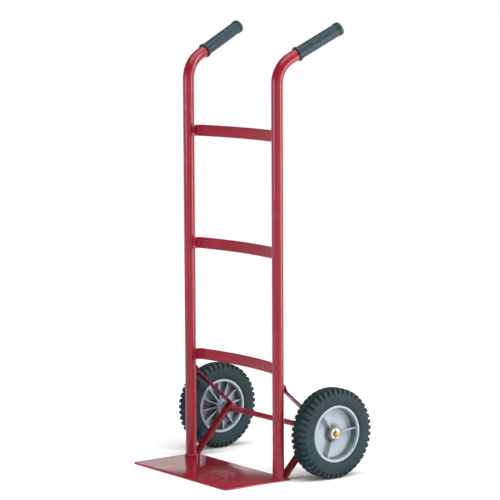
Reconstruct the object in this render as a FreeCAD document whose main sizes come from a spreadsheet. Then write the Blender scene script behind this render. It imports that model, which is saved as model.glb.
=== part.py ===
"""Two-wheel steel hand truck, a parametric FreeCAD document.

Millimetres, +Z up, +X across the truck to the right, +Y towards the back. The origin is on the floor,
midway between the two uprights, under the toe plate.

The driving sizes are cells of the sheet Sizes. Positions that follow from them are properties of the
variable set Layout. Every piece is an object of its own, bound to both with expressions.
"""
import FreeCAD, Part
import math
import os
import Sketcher

from FreeCAD import Vector

SIZES = {
    # uprights: one bent tube on each side, from the toe plate up into the handle
    "tube_od": 25.4,
    "tube_wall": 1.65,
    "upright_spacing": 330.2,      # between the tube axes
    "bend_height": 864,            # floor to the start of the handle bend
    "bend_radius": 62,             # of the tube's axis
    "handle_turn": 63,             # degrees that the bend turns the tube backwards
    "handle_splay": 7.5,           # degrees that each handle points outwards
    # grips: vinyl sleeves closed at the end
    "grip_start": 17,              # straight tube between the bend and the grip
    "grip_length": 122,
    "grip_wall": 1.4,
    "grip_flange_wall": 3.8,
    "grip_flange_width": 5,
    "grip_bead_wall": 2.3,
    "grip_bead_width": 9,
    "grip_cap": 3,
    "grip_edge": 1.2,              # rounding of the flange and the bead
    # cross straps: flat bars with short legs on the inner sides of the tubes
    "strap_height": 25.4,
    "strap_thickness": 3,
    "strap_low": 239,              # floor to the middle of the lowest strap
    "strap_pitch": 255.5,
    "strap_leg_front": 2,          # how far a leg reaches in front of the tube axis
    "strap_leg_back": 17,          # from the tube axis back to the corner
    "strap_bow": 18,               # how far the span bows backwards
    "strap_bend": 4,               # inside radius of the corners
    # toe plate
    "plate_beside": 2.2,           # beyond the outer side of each tube
    "plate_depth": 174.5,
    "plate_thickness": 3,
    "plate_overhang": 20.9,        # behind the tube axes
    "plate_corner": 11,
    # axle and its brackets
    "axle_od": 12.7,
    "axle_setback": 109.3,         # behind the tube axes
    "axle_stub": 7.5,              # beyond the outer washer
    "axle_chamfer": 1.2,
    "channel_width": 19,
    "channel_depth": 8,
    "channel_sheet": 2.5,
    "channel_seat": 0.3,           # from the axle to the channel's web
    "channel_foot": 10,            # floor to the top of the foot, on the tube
    "channel_fillet": 5,           # where the flange widens into its ear
    "channel_edge": 2.2,           # outside radius of the pressed bends
    "hole_gap": 0.08,               # round the axle and the cotter pins
    "strip_width": 19,
    "strip_thickness": 3,
    "strip_top": 211,              # floor to the strip's upper end
    "strip_corner": 8,             # rounding of the upper end's corners
    "strip_height": 198,           # floor to the bend
    "strip_bend": 20,              # inside radius
    "strip_back": 5,               # the strip stops this far before the axle's ears
    # wheels
    "wheel_diameter": 200,
    "wheel_offset": 48.7,          # from a tube's axis out to its wheel's mid-plane
    "tyre_width": 44,
    "tread_width": 27,
    "tread_crown": 0.5,
    "shoulder_drop": 9,
    "shoulder_in": 1.4,
    "shoulder_radius": 9,
    "sidewall_radius": 60,
    "bead_width": 9,
    "bead_corner": 2,
    "tyre_wall": 9.5,
    "tread_wall": 11,
    "hollow_foot": 0.2344,         # share of the hollow's height below its full width
    "hollow_shoulder": 0.2734,     # share of the hollow's height above its full width
    "lip_gap": 0.4,                # between the tyre and the rim's lips
    "rim_width": 41.4,
    "rim_lip": 63,                 # outer radius of the lips
    "rim_lip_inner": 57.4,
    "rim_lip_width": 3.7,
    "rim_lip_round": 1.7,
    "rim_seat": 60.5,                # radius that the tyre's beads sit on
    "rim_wall": 55.5,                # radius of the dish's wall at the web
    "web_thickness": 4,
    "boss_radius": 15,
    "hub_outer_reach": 13,         # mid-plane to the outer end of the hub's bushes
    "outer_rib_rise": 16,
    "inner_rib_rise": 14,
    "inner_rib_root": 18,
    "rib_phase": 7.5,              # degrees from +Y to the first rib
    "rib_thickness": 2.6,
    "rib_embed": 0.8,
    # bushes, washers and cotter pins
    "bush_wall": 1.6,
    "bush_length": 15,
    "bush_flange": 1.2,
    "bush_flange_radius": 11,
    "bush_gap": 0.06,              # running clearance on the axle, on the radius
    "washer_od": 24,
    "washer_gap": 0.2,
    "washer_thickness": 1.6,
    "side_play": 0.3,              # between a hub and each of its washers
    "cotter_od": 2.8,
    "cotter_reach": 9.2,
    "cotter_eye": 2.6,
    "cotter_leg": 7,
    "cotter_spread": 38,
    # weld beads
    "weld_radius": 2.2,
    "weld_out": 0.8,               # from the face of a flat piece to its bead's axis
    "weld_end": 2,                 # a bead stops this far before its pieces do
    "ring_radius": 1.6,            # of the beads round the tubes' feet and the axle
    "ring_out": 0.5,               # from a tube's or the axle's surface to its ring's axis
}

OUTER_RIBS = 3
INNER_RIBS = 12
SIDES = {"left": -1, "right": 1}
STRAPS = ("lower", "middle", "top")
PARALLEL = 0.999                   # cosine above which an edge counts as lying along an axis

LAYOUT = {
    "tube_radius": "Sizes.tube_od / 2",
    "tube_x": "Sizes.upright_spacing / 2",
    "upright_height": "Sizes.bend_height - Sizes.plate_thickness",
    "plate_width": "Sizes.upright_spacing + Sizes.tube_od + 2 * Sizes.plate_beside",
    "cut_length": "4 * Sizes.axle_setback",    # passes right through any piece
    # end of the handle bend, in the tube's own upright plane
    "bend_end_back": "Sizes.bend_radius * (1 - cos(Sizes.handle_turn))",
    "bend_end_up": "Layout.upright_height + Sizes.bend_radius * sin(Sizes.handle_turn)",
    "handle_length": "Sizes.grip_start + Sizes.grip_length - Sizes.grip_cap",
    "handle_end_back": "Layout.bend_end_back + Layout.handle_length * sin(Sizes.handle_turn)",
    "handle_end_up": "Layout.bend_end_up + Layout.handle_length * cos(Sizes.handle_turn)",
    "grip_back": "Layout.bend_end_back + Sizes.grip_start * sin(Sizes.handle_turn)",
    "grip_up": "Layout.bend_end_up + Sizes.grip_start * cos(Sizes.handle_turn) + Sizes.plate_thickness",
    # straps: the back of the span is one arc between the legs
    "strap_reach": "Layout.tube_x - Layout.tube_radius",
    "strap_arc": "(Layout.strap_reach^2 + Sizes.strap_bow^2) / (2 * Sizes.strap_bow)",
    "strap_centre": "Sizes.strap_leg_back + Sizes.strap_bow - Layout.strap_arc",
    "strap_inner_arc": "Layout.strap_arc - Sizes.strap_thickness",
    "strap_inner_reach": "Layout.strap_reach - Sizes.strap_thickness",
    "strap_inner_corner": "Layout.strap_centre + sqrt(Layout.strap_inner_arc^2 - Layout.strap_inner_reach^2)",
    # brackets: channel and strip are tangent to one circle, the ears round the axle
    "axle_radius": "Sizes.axle_od / 2",
    "axle_height": "Sizes.wheel_diameter / 2",
    "ear_radius": "Layout.axle_radius + Sizes.channel_seat + Sizes.channel_sheet",
    "axle_behind": "Sizes.axle_setback - Layout.tube_radius",
    "foot_drop": "Layout.axle_height - Sizes.channel_foot",
    "foot_reach": "sqrt(Layout.axle_behind^2 + Layout.foot_drop^2)",
    "arm_angle": "atan2(Layout.foot_drop; Layout.axle_behind)"
                 " + asin(Layout.ear_radius / Layout.foot_reach)",
    "strip_drop": "Sizes.strip_height - Layout.axle_height",
    "strip_reach": "sqrt(Layout.axle_behind^2 + Layout.strip_drop^2)",
    "strip_angle": "atan2(Layout.strip_drop; Layout.axle_behind)"
                   " - asin(Layout.ear_radius / Layout.strip_reach)",
    "bracket_angle": "Layout.arm_angle + Layout.strip_angle",
    # channel corners, along (u) and square to (v) its web, from the axle's axis
    "channel_back": "Layout.ear_radius - Sizes.channel_depth",
    "channel_web_back": "Layout.axle_radius + Sizes.channel_seat",
    "foot_front_u": "(Layout.ear_radius * sin(Layout.arm_angle) - Layout.axle_behind)"
                    " / cos(Layout.arm_angle)",
    "foot_below": "Layout.axle_height - Sizes.plate_thickness",
    "foot_corner_u": "-Layout.axle_behind * cos(Layout.arm_angle)"
                     " - Layout.foot_below * sin(Layout.arm_angle)",
    "foot_corner_v": "Layout.axle_behind * sin(Layout.arm_angle)"
                     " - Layout.foot_below * cos(Layout.arm_angle)",
    "foot_back_u": "(-Layout.foot_below - Layout.channel_back * cos(Layout.arm_angle))"
                   " / sin(Layout.arm_angle)",
    "ear_back_u": "-sqrt(Layout.ear_radius^2 - Layout.channel_back^2)",
    "vertex_u": "Layout.ear_radius * tan(Layout.bracket_angle / 2)",
    # strip corners, from the tube's back down to the ears
    "strip_run": "sqrt(Layout.strip_reach^2 - Layout.ear_radius^2) - Sizes.strip_back",
    "strip_end_y": "Layout.tube_radius + Layout.strip_run * cos(Layout.strip_angle)",
    "strip_end_z": "Sizes.strip_height - Layout.strip_run * sin(Layout.strip_angle)",
    "strip_crook": "Sizes.strip_thickness * (1 - sin(Layout.strip_angle)) / cos(Layout.strip_angle)",
    # wheels and what holds them on the axle
    "wheel_x": "Layout.tube_x + Sizes.wheel_offset",
    "bracket_side": "Layout.tube_x + Sizes.channel_width / 2",
    "inner_washer_x": "Layout.bracket_side",
    "hub_inner_reach": "Layout.wheel_x - Layout.inner_washer_x - Sizes.washer_thickness - Sizes.side_play",
    "outer_washer_x": "Layout.wheel_x + Sizes.hub_outer_reach + Sizes.side_play",
    "cotter_x": "Layout.outer_washer_x + Sizes.washer_thickness + Sizes.cotter_od / 2",
    "axle_half": "Layout.outer_washer_x + Sizes.washer_thickness + Sizes.axle_stub",
    "bore_radius": "Layout.axle_radius + Sizes.bush_gap + Sizes.bush_wall",
    "lip_inside": "Sizes.rim_width / 2 - Sizes.rim_lip_width",
    "hub_inner_end": "Sizes.bush_flange - Layout.hub_inner_reach",
    "hub_outer_end": "Sizes.hub_outer_reach - Sizes.bush_flange",
    "crown_arc": "((Sizes.tread_width / 2)^2 + Sizes.tread_crown^2) / (2 * Sizes.tread_crown)",
    "shoulder_x": "Sizes.tyre_width / 2 - Sizes.shoulder_in",
    "cavity_x": "Sizes.tyre_width / 2 - Sizes.tyre_wall",
    "cavity_top": "Layout.axle_height - Sizes.tread_wall",
    "bead_top": "Sizes.rim_lip + Sizes.lip_gap",
    "cavity_rise": "Layout.cavity_top - Layout.bead_top",
    "cavity_shoulder": "Sizes.hollow_shoulder * Layout.cavity_rise",
}


def number(doc, expression):
    """The number that an expression gives now."""
    return float(doc.Layout.evalExpression(expression))


def make_sheet(doc):
    """The driving sizes, one plain number to a cell, each with its alias."""
    sheet = doc.addObject("Spreadsheet::Sheet", "Sizes")
    for row, (alias, value) in enumerate(SIZES.items(), start=1):
        sheet.set(f"A{row}", str(value))
        sheet.setAlias(f"A{row}", alias)
    doc.recompute()
    return sheet


def make_layout(doc):
    """Positions worked out from the driving sizes. Angles are in degrees."""
    layout = doc.addObject("App::VarSet", "Layout")
    for name, expression in LAYOUT.items():
        layout.addProperty("App::PropertyFloat", name, "Layout")
        is_angle = name.endswith("_angle")
        layout.setExpression(name, f"({expression}) / 1 deg" if is_angle and "atan2" in expression
                             else expression)
        doc.recompute()
    return layout


class Sketch:
    """A sketch on one of its body's origin planes, whose points are bound to the sheet."""

    def __init__(self, body, name, plane):
        self.sketch = body.newObject("Sketcher::SketchObject", name)
        origin = [item for item in body.Origin.OriginFeatures if item.Role == plane][0]
        self.sketch.AttachmentSupport = [(origin, "")]
        self.sketch.MapMode = "FlatFace"

    def value(self, expression):
        return number(self.sketch.Document, expression)

    def bind(self, kind, *target, to):
        """Add a dimension whose value is an expression."""
        index = self.sketch.addConstraint(Sketcher.Constraint(kind, *target, self.value(to)))
        self.sketch.setExpression(f"Constraints[{index}]", to)

    def run(self, start, end, bend):
        """One straight run, or an arc that turns left (bend > 0) or right (bend < 0), under half a turn.

        Returns the run's index and which of its ends come first and last along the outline.
        """
        first = Vector(*start, 0)
        last = Vector(*end, 0)
        if bend is None:
            return self.sketch.addGeometry(Part.LineSegment(first, last), False), 1, 2
        radius = self.value(bend)
        chord = last - first
        left = Vector(-chord.y, chord.x, 0).normalize()
        rise = math.sqrt(radius**2 - (chord.Length / 2)**2)
        centre = (first + last) / 2 + left * math.copysign(rise, radius)
        ends = (first, last) if radius > 0 else (last, first)
        angles = [math.atan2(end.y - centre.y, end.x - centre.x) for end in ends]
        circle = Part.Circle(centre, Vector(0, 0, 1), abs(radius))
        index = self.sketch.addGeometry(Part.ArcOfCircle(circle, *angles), False)
        self.bind("Radius", index, to=f"abs({bend})")
        return (index, 1, 2) if radius > 0 else (index, 2, 1)

    def outline(self, corners, closed=True):
        """Runs through corners, each (x, y) or (x, y, bend of the run that follows), as expressions."""
        corners = [corner if len(corner) == 3 else (*corner, None) for corner in corners]
        points = [(self.value(x), self.value(y)) for x, y, _ in corners]
        count = len(corners) if closed else len(corners) - 1
        runs = [self.run(points[i], points[(i + 1) % len(points)], corners[i][2]) for i in range(count)]
        for i in range(count if closed else count - 1):
            index, _, end = runs[i]
            following, start, _ = runs[(i + 1) % count]
            self.sketch.addConstraint(Sketcher.Constraint("Coincident", index, end, following, start))
        places = [(index, start) for index, start, _ in runs]
        if not closed:
            places.append((runs[-1][0], runs[-1][2]))
        for (x, y, _), place in zip(corners, places):
            self.bind("DistanceX", -1, 1, *place, to=x)
            self.bind("DistanceY", -1, 1, *place, to=y)
        return self.sketch

    def circle(self, radius, x="0", y="0"):
        """A circle whose centre and radius are expressions."""
        centre = Vector(self.value(x), self.value(y), 0)
        circle = Part.Circle(centre, Vector(0, 0, 1), self.value(radius))
        index = self.sketch.addGeometry(circle, False)
        self.bind("Radius", index, to=radius)
        self.bind("DistanceX", -1, 1, index, 3, to=x)
        self.bind("DistanceY", -1, 1, index, 3, to=y)
        return self.sketch


def place(item, x="0", y="0", z="0", turn="rotation(vector(0; 0; 1); 0)"):
    """Bind an object's Placement to expressions."""
    item.setExpression("Placement", f"placement(vector({x}; {y}; {z}); {turn})")


def turned(axis, angle):
    """The expression of a rotation about X, Y or Z."""
    vector = {"X": "vector(1; 0; 0)", "Y": "vector(0; 1; 0)", "Z": "vector(0; 0; 1)"}[axis]
    return f"rotation({vector}; {angle})"


def new_body(doc, label):
    """An empty body, named after its piece."""
    body = doc.addObject("PartDesign::Body", label)
    body.Label = label
    return body


def pad(body, sketch, length, symmetric=False):
    """Raise a sketch's area, to one side or half of the length to each."""
    feature = body.newObject("PartDesign::Pad", f"{body.Name}_{sketch.Name}_pad")
    feature.Profile = sketch
    feature.SideType = "Symmetric" if symmetric else "One side"
    feature.setExpression("Length", length)
    body.Document.recompute()
    return feature


def pocket(body, sketch, length):
    """Cut a sketch's area out of the body, half of the length to each side, and see that it cut."""
    before = body.Shape.Volume
    feature = body.newObject("PartDesign::Pocket", f"{body.Name}_{sketch.Name}_pocket")
    feature.Profile = sketch
    feature.SideType = "Symmetric"
    feature.setExpression("Length", length)
    body.Document.recompute()
    if body.Shape.Volume >= before:
        raise RuntimeError(f"{feature.Name} cuts nothing")
    return feature


def revolve(body, sketch, axis):
    """Turn a sketch's area once round one of its own axes."""
    feature = body.newObject("PartDesign::Revolution", f"{body.Name}_revolution")
    feature.Profile = sketch
    feature.ReferenceAxis = (sketch, [axis])
    feature.Angle = 360
    body.Document.recompute()
    return feature


def round_edges(body, keep, radius, kind="PartDesign::Fillet"):
    """Fillet, or chamfer, the edges of the body's tip that keep(edge) picks."""
    base = body.Tip
    names = [f"Edge{i}" for i, edge in enumerate(base.Shape.Edges, start=1) if keep(edge)]
    if not names:
        raise RuntimeError(f"{body.Label} has no such edge")
    feature = body.newObject(kind, f"{body.Name}_{base.Name}_edges")
    feature.Base = (base, names)
    feature.setExpression("Radius" if kind.endswith("Fillet") else "Size", radius)
    body.Document.recompute()
    return feature


def is_line_along(axis, *at, within=0.05):
    """A test for straight edges along X, Y or Z through a point given by its two other coordinates."""
    index = "XYZ".index(axis)

    def keep(edge):
        ends = [vertex.Point for vertex in edge.Vertexes]
        if len(ends) != 2 or not isinstance(edge.Curve, Part.Line):
            return False
        middle = list((ends[0] + ends[1]) / 2)
        middle.pop(index)
        along = abs((ends[1] - ends[0]).normalize()[index]) > PARALLEL
        return along and math.dist(middle, at) < within
    return keep


def is_circle(radius, within=0.02):
    """A test for round edges of one radius."""
    def keep(edge):
        return isinstance(edge.Curve, Part.Circle) and abs(edge.Curve.Radius - radius) < within
    return keep


def upright_tube(doc, label, side):
    """Tube from the toe plate up, round the handle bend and back into the grip."""
    body = new_body(doc, label)
    section = Sketch(body, "section", "XY_Plane")
    section.circle("Layout.tube_radius")
    section.circle("Layout.tube_radius - Sizes.tube_wall")
    path = Sketch(body, "path", "YZ_Plane").outline([
        ("0", "0"),
        ("0", "Layout.upright_height", "-Sizes.bend_radius"),
        ("Layout.bend_end_back", "Layout.bend_end_up"),
        ("Layout.handle_end_back", "Layout.handle_end_up"),
    ], closed=False)
    doc.recompute()
    pipe = body.newObject("PartDesign::AdditivePipe", f"{label}_pipe")
    pipe.Profile = section.sketch
    pipe.Spine = path
    place(body, f"{side} * Layout.tube_x", "0", "Sizes.plate_thickness",
          turned("Z", f"{-side} * Sizes.handle_splay"))
    return body


def grip(doc, label, side):
    """Sleeve over the handle's end, with a hand stop at the bend and a bead at its closed end."""
    body = new_body(doc, label)
    end = "Sizes.grip_length"
    sleeve = "Layout.tube_radius + Sizes.grip_wall"
    flange = "Layout.tube_radius + Sizes.grip_flange_wall"
    bead = "Layout.tube_radius + Sizes.grip_bead_wall"
    outline = Sketch(body, "half_section", "XZ_Plane").outline([
        ("Layout.tube_radius", "0"),
        (flange, "0"),
        (flange, "Sizes.grip_flange_width"),
        (sleeve, "Sizes.grip_flange_width + Sizes.grip_edge"),
        (sleeve, f"{end} - Sizes.grip_bead_width - Sizes.grip_edge"),
        (bead, f"{end} - Sizes.grip_bead_width"),
        (bead, end),
        ("0", end),
        ("0", f"{end} - Sizes.grip_cap"),
        ("Layout.tube_radius", f"{end} - Sizes.grip_cap"),
    ])
    revolve(body, outline, "V_Axis")
    for radius in (flange, bead):
        round_edges(body, is_circle(number(doc, radius)), "Sizes.grip_edge")
    splay = f"{-side} * Sizes.handle_splay"
    place(body, f"{side} * (Layout.tube_x + Layout.grip_back * sin(Sizes.handle_splay))",
          "Layout.grip_back * cos(Sizes.handle_splay)", "Layout.grip_up",
          f"{turned('Z', splay)} * {turned('X', '-Sizes.handle_turn')}")
    return body


def cross_strap(doc, label, row):
    """Flat bar bowed backwards, with a short leg along the inner side of each tube."""
    body = new_body(doc, label)
    outline = Sketch(body, "plan", "XY_Plane").outline([
        ("Layout.strap_reach", "-Sizes.strap_leg_front"),
        ("Layout.strap_reach", "Sizes.strap_leg_back", "Layout.strap_arc"),
        ("-Layout.strap_reach", "Sizes.strap_leg_back"),
        ("-Layout.strap_reach", "-Sizes.strap_leg_front"),
        ("-Layout.strap_inner_reach", "-Sizes.strap_leg_front"),
        ("-Layout.strap_inner_reach", "Layout.strap_inner_corner", "-Layout.strap_inner_arc"),
        ("Layout.strap_inner_reach", "Layout.strap_inner_corner"),
        ("Layout.strap_inner_reach", "-Sizes.strap_leg_front"),
    ])
    pad(body, outline, "Sizes.strap_height", symmetric=True)
    corners = [("Layout.strap_reach", "Sizes.strap_leg_back", "Sizes.strap_bend + Sizes.strap_thickness"),
               ("Layout.strap_inner_reach", "Layout.strap_inner_corner", "Sizes.strap_bend")]
    for x, y, radius in corners:
        at = (number(doc, x), number(doc, y))
        tests = [is_line_along("Z", sign * at[0], at[1]) for sign in SIDES.values()]
        round_edges(body, lambda edge, tests=tests: any(test(edge) for test in tests), radius)
    place(body, z=f"Sizes.strap_low + {row} * Sizes.strap_pitch")
    return body


def toe_plate(doc, label):
    """Flat plate on the floor, in front of the uprights and a little behind them."""
    body = new_body(doc, label)
    front = "(Sizes.plate_overhang - Sizes.plate_depth)"
    half = "Layout.plate_width / 2"
    outline = Sketch(body, "plan", "XY_Plane").outline([
        (f"-{half}", front),
        (half, front),
        (half, "Sizes.plate_overhang"),
        (f"-{half}", "Sizes.plate_overhang"),
    ])
    pad(body, outline, "Sizes.plate_thickness")
    x, y = number(doc, half), number(doc, front)
    round_edges(body, lambda edge: is_line_along("Z", x, y)(edge) or is_line_along("Z", -x, y)(edge),
                "Sizes.plate_corner")
    return body


def axle(doc, label):
    """Round bar through both brackets and both wheels, drilled near its ends for the cotter pins."""
    body = new_body(doc, label)
    section = Sketch(body, "section", "YZ_Plane").circle("Layout.axle_radius")
    pad(body, section, "2 * Layout.axle_half", symmetric=True)
    round_edges(body, is_circle(number(doc, "Layout.axle_radius")), "Sizes.axle_chamfer",
                "PartDesign::Chamfer")
    drills = Sketch(body, "drills", "XY_Plane")
    for sign in SIDES.values():
        drills.circle("Sizes.cotter_od / 2 + Sizes.hole_gap", f"{sign} * Layout.cotter_x")
    pocket(body, drills.sketch, "Layout.cut_length")
    place(body, "0", "Sizes.axle_setback", "Layout.axle_height")
    return body


def lower_bracket(doc, label, side):
    """Pressed channel from the foot of the tube up to the axle, open downwards, with an ear on each side."""
    body = new_body(doc, label)
    ear = "Layout.ear_radius"
    side_view = Sketch(body, "side_view", "YZ_Plane").outline([
        ("Layout.foot_corner_u", "Layout.foot_corner_v"),
        ("Layout.foot_back_u", "Layout.channel_back"),
        ("Layout.ear_back_u", "Layout.channel_back", ear),
        ("0", f"-{ear}", ear),
        (f"{ear} * sin(Layout.bracket_angle)", f"{ear} * cos(Layout.bracket_angle)"),
        ("Layout.vertex_u", ear),
        ("Layout.foot_front_u", ear),
    ])
    pad(body, side_view, "Sizes.channel_width", symmetric=True)
    half = number(doc, "Sizes.channel_width / 2")
    back = number(doc, "Layout.channel_back")
    ear_back = number(doc, "Layout.ear_back_u")
    front = number(doc, ear)
    round_edges(body, is_line_along("X", ear_back, back), "Sizes.channel_fillet")
    round_edges(body, lambda edge: is_line_along("Y", half, front)(edge) or
                is_line_along("Y", -half, front)(edge), "Sizes.channel_edge")
    inside = Sketch(body, "inside", "YZ_Plane").outline([
        ("Layout.foot_corner_u - Sizes.tube_od", f"-2 * {ear}"),
        (f"2 * {ear}", f"-2 * {ear}"),
        (f"2 * {ear}", "Layout.channel_web_back"),
        ("Layout.foot_corner_u - Sizes.tube_od", "Layout.channel_web_back"),
    ])
    pocket(body, inside, "Sizes.channel_width - 2 * Sizes.channel_sheet")
    bore = Sketch(body, "bore", "YZ_Plane").circle("Layout.axle_radius + Sizes.hole_gap")
    pocket(body, bore, "Layout.cut_length")
    place(body, f"{side} * Layout.tube_x", "Sizes.axle_setback", "Layout.axle_height",
          turned("X", "Layout.arm_angle"))
    return body


def upper_bracket(doc, label, side):
    """Flat strip from the back of the tube down to the top of the channel's ears."""
    body = new_body(doc, label)
    behind = "Layout.tube_radius + Sizes.strip_thickness"
    outline = Sketch(body, "side_view", "YZ_Plane").outline([
        ("Layout.tube_radius", "Sizes.strip_top"),
        ("Layout.tube_radius", "Sizes.strip_height"),
        ("Layout.strip_end_y", "Layout.strip_end_z"),
        ("Layout.strip_end_y + Sizes.strip_thickness * sin(Layout.strip_angle)",
         "Layout.strip_end_z + Sizes.strip_thickness * cos(Layout.strip_angle)"),
        (behind, "Sizes.strip_height + Layout.strip_crook"),
        (behind, "Sizes.strip_top"),
    ])
    pad(body, outline, "Sizes.strip_width", symmetric=True)
    bends = [("Layout.tube_radius", "Sizes.strip_height", "Sizes.strip_bend + Sizes.strip_thickness"),
             (behind, "Sizes.strip_height + Layout.strip_crook", "Sizes.strip_bend")]
    for y, z, radius in bends:
        round_edges(body, is_line_along("X", number(doc, y), number(doc, z)), radius)
    corners = Sketch(body, "corners", "XZ_Plane")
    half = "Sizes.strip_width / 2"
    for sign in SIDES.values():
        corners.outline([
            (f"{sign} * ({half} - Sizes.strip_corner)", "Sizes.strip_top", f"{-sign} * Sizes.strip_corner"),
            (f"{sign} * {half}", "Sizes.strip_top - Sizes.strip_corner"),
            (f"{sign} * Sizes.strip_width", "Sizes.strip_top - Sizes.strip_corner"),
            (f"{sign} * Sizes.strip_width", "Sizes.strip_top + Sizes.strip_corner"),
            (f"{sign} * ({half} - Sizes.strip_corner)", "Sizes.strip_top + Sizes.strip_corner"),
        ])
    pocket(body, corners.sketch, "Layout.cut_length")
    place(body, f"{side} * Layout.tube_x")
    return body


def at_hub(item, side):
    """Put a wheel's piece on the axle, its outer side away from the truck."""
    place(item, f"{side} * Layout.wheel_x", "Sizes.axle_setback", "Layout.axle_height",
          f"{turned('Z', 90 - 90 * side)} * {turned('X', f'{side} * Sizes.rib_phase')}")


def tyre(doc, label, side):
    """Hollow rubber tyre whose two beads sit between the rim's lips."""
    body = new_body(doc, label)
    tread = ("Sizes.tread_width / 2", "Layout.axle_height - Sizes.tread_crown")
    shoulder = ("Layout.shoulder_x", "Layout.axle_height - Sizes.shoulder_drop")
    neck = ("Layout.shoulder_x", "Layout.bead_top + Sizes.bead_corner")
    half = [
        ("Layout.lip_inside - Sizes.bead_width", "Sizes.rim_seat"),
        ("Layout.lip_inside", "Sizes.rim_seat"),
        ("Layout.lip_inside", "Layout.bead_top"),
        ("Layout.shoulder_x - Sizes.bead_corner", "Layout.bead_top"),
        (*neck, "Sizes.sidewall_radius"),
        (*shoulder, "Sizes.shoulder_radius"),
        (*tread, "Layout.crown_arc"),
    ]
    other = [
        (f"-{tread[0]}", tread[1], "Sizes.shoulder_radius"),
        (f"-{shoulder[0]}", shoulder[1], "Sizes.sidewall_radius"),
        (f"-{neck[0]}", neck[1]),
        ("Sizes.bead_corner - Layout.shoulder_x", "Layout.bead_top"),
        ("-Layout.lip_inside", "Layout.bead_top"),
        ("-Layout.lip_inside", "Sizes.rim_seat"),
        ("Sizes.bead_width - Layout.lip_inside", "Sizes.rim_seat"),
    ]
    cavity = [
        ("Layout.lip_inside - Sizes.bead_width", "Layout.bead_top"),
        ("Layout.cavity_x", "Layout.bead_top + Sizes.hollow_foot * Layout.cavity_rise"),
        ("Layout.cavity_x", "Layout.cavity_top - Layout.cavity_shoulder"),
        ("Layout.cavity_x - Layout.cavity_shoulder", "Layout.cavity_top"),
    ]
    left = [(f"-({x})", y) for x, y in cavity]
    outline = Sketch(body, "half_section", "XY_Plane").outline(half + other + left + cavity[::-1])
    revolve(body, outline, "H_Axis")
    at_hub(body, side)
    return body


def ribs(body, name, corners, count):
    """Radial ribs standing on the wheel's web, from the boss out to the rim."""
    outline = Sketch(body, name, "XY_Plane").outline(corners)
    first = pad(body, outline, "Sizes.rib_thickness", symmetric=True)
    pattern = body.newObject("PartDesign::PolarPattern", f"{body.Name}_{name}_pattern")
    pattern.Originals = [first]
    pattern.Axis = ([item for item in body.Origin.OriginFeatures if item.Role == "X_Axis"][0], [""])
    pattern.Angle = 360
    pattern.Occurrences = count
    body.Tip = pattern
    body.Document.recompute()


def wheel_centre(doc, label, side):
    """Moulded hub, web and rim in one piece. Local +X is the outer side."""
    body = new_body(doc, label)
    web = "Sizes.web_thickness / 2"
    lip = "Sizes.rim_width / 2"
    outline = Sketch(body, "half_section", "XY_Plane").outline([
        ("Layout.hub_inner_end", "Layout.bore_radius"),
        ("Layout.hub_outer_end", "Layout.bore_radius"),
        ("Layout.hub_outer_end", "Sizes.boss_radius"),
        (web, "Sizes.boss_radius"),
        (web, "Sizes.rim_wall"),
        ("Layout.lip_inside", "Sizes.rim_lip_inner"),
        (lip, "Sizes.rim_lip_inner"),
        (lip, "Sizes.rim_lip"),
        ("Layout.lip_inside", "Sizes.rim_lip"),
        ("Layout.lip_inside", "Sizes.rim_seat"),
        ("-Layout.lip_inside", "Sizes.rim_seat"),
        ("-Layout.lip_inside", "Sizes.rim_lip"),
        (f"-{lip}", "Sizes.rim_lip"),
        (f"-{lip}", "Sizes.rim_lip_inner"),
        ("-Layout.lip_inside", "Sizes.rim_lip_inner"),
        (f"-{web}", "Sizes.rim_wall"),
        (f"-{web}", "Sizes.boss_radius"),
        ("Layout.hub_inner_end", "Sizes.boss_radius"),
    ])
    revolve(body, outline, "H_Axis")
    lip_x = number(doc, lip)
    round_edges(body, lambda edge: isinstance(edge.Curve, Part.Circle)
                and abs(abs(edge.Curve.Center.x) - lip_x) < 0.02, "Sizes.rim_lip_round")
    root = "Sizes.boss_radius - Sizes.rib_embed"
    reach = "Sizes.rim_lip_inner + Sizes.rib_embed"
    ribs(body, "outer_rib", [
        ("0", root),
        ("Layout.hub_outer_end - Sizes.rib_embed", root),
        ("Sizes.outer_rib_rise", reach),
        ("0", reach),
    ], OUTER_RIBS)
    ribs(body, "inner_rib", [
        ("0", root),
        ("0", reach),
        ("-Sizes.inner_rib_rise", reach),
        ("-Sizes.inner_rib_root", root),
    ], INNER_RIBS)
    at_hub(body, side)
    return body


def hub_bush(doc, label, side, facing):
    """Flanged steel bush pressed into one end of a hub, facing = 1 at the outer end and -1 at the inner."""
    body = new_body(doc, label)
    bore = "Layout.axle_radius + Sizes.bush_gap"
    end = "Sizes.hub_outer_reach" if facing > 0 else "Layout.hub_inner_reach"
    outline = Sketch(body, "half_section", "XY_Plane").outline([
        (f"{end} - Sizes.bush_length", bore),
        (end, bore),
        (end, "Sizes.bush_flange_radius"),
        (f"{end} - Sizes.bush_flange", "Sizes.bush_flange_radius"),
        (f"{end} - Sizes.bush_flange", "Layout.bore_radius"),
        (f"{end} - Sizes.bush_length", "Layout.bore_radius"),
    ])
    revolve(body, outline, "H_Axis")
    place(body, f"{side} * Layout.wheel_x", "Sizes.axle_setback", "Layout.axle_height",
          turned("Z", 90 - 90 * side * facing))
    return body


def washer(doc, label, side, inner_face):
    """Flat washer on the axle, its inner face at inner_face from the middle of the truck."""
    body = new_body(doc, label)
    section = Sketch(body, "section", "YZ_Plane")
    section.circle("Sizes.washer_od / 2")
    section.circle("Layout.axle_radius + Sizes.washer_gap")
    pad(body, section.sketch, "Sizes.washer_thickness", symmetric=True)
    place(body, f"{side} * ({inner_face} + Sizes.washer_thickness / 2)", "Sizes.axle_setback",
          "Layout.axle_height")
    return body


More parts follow.
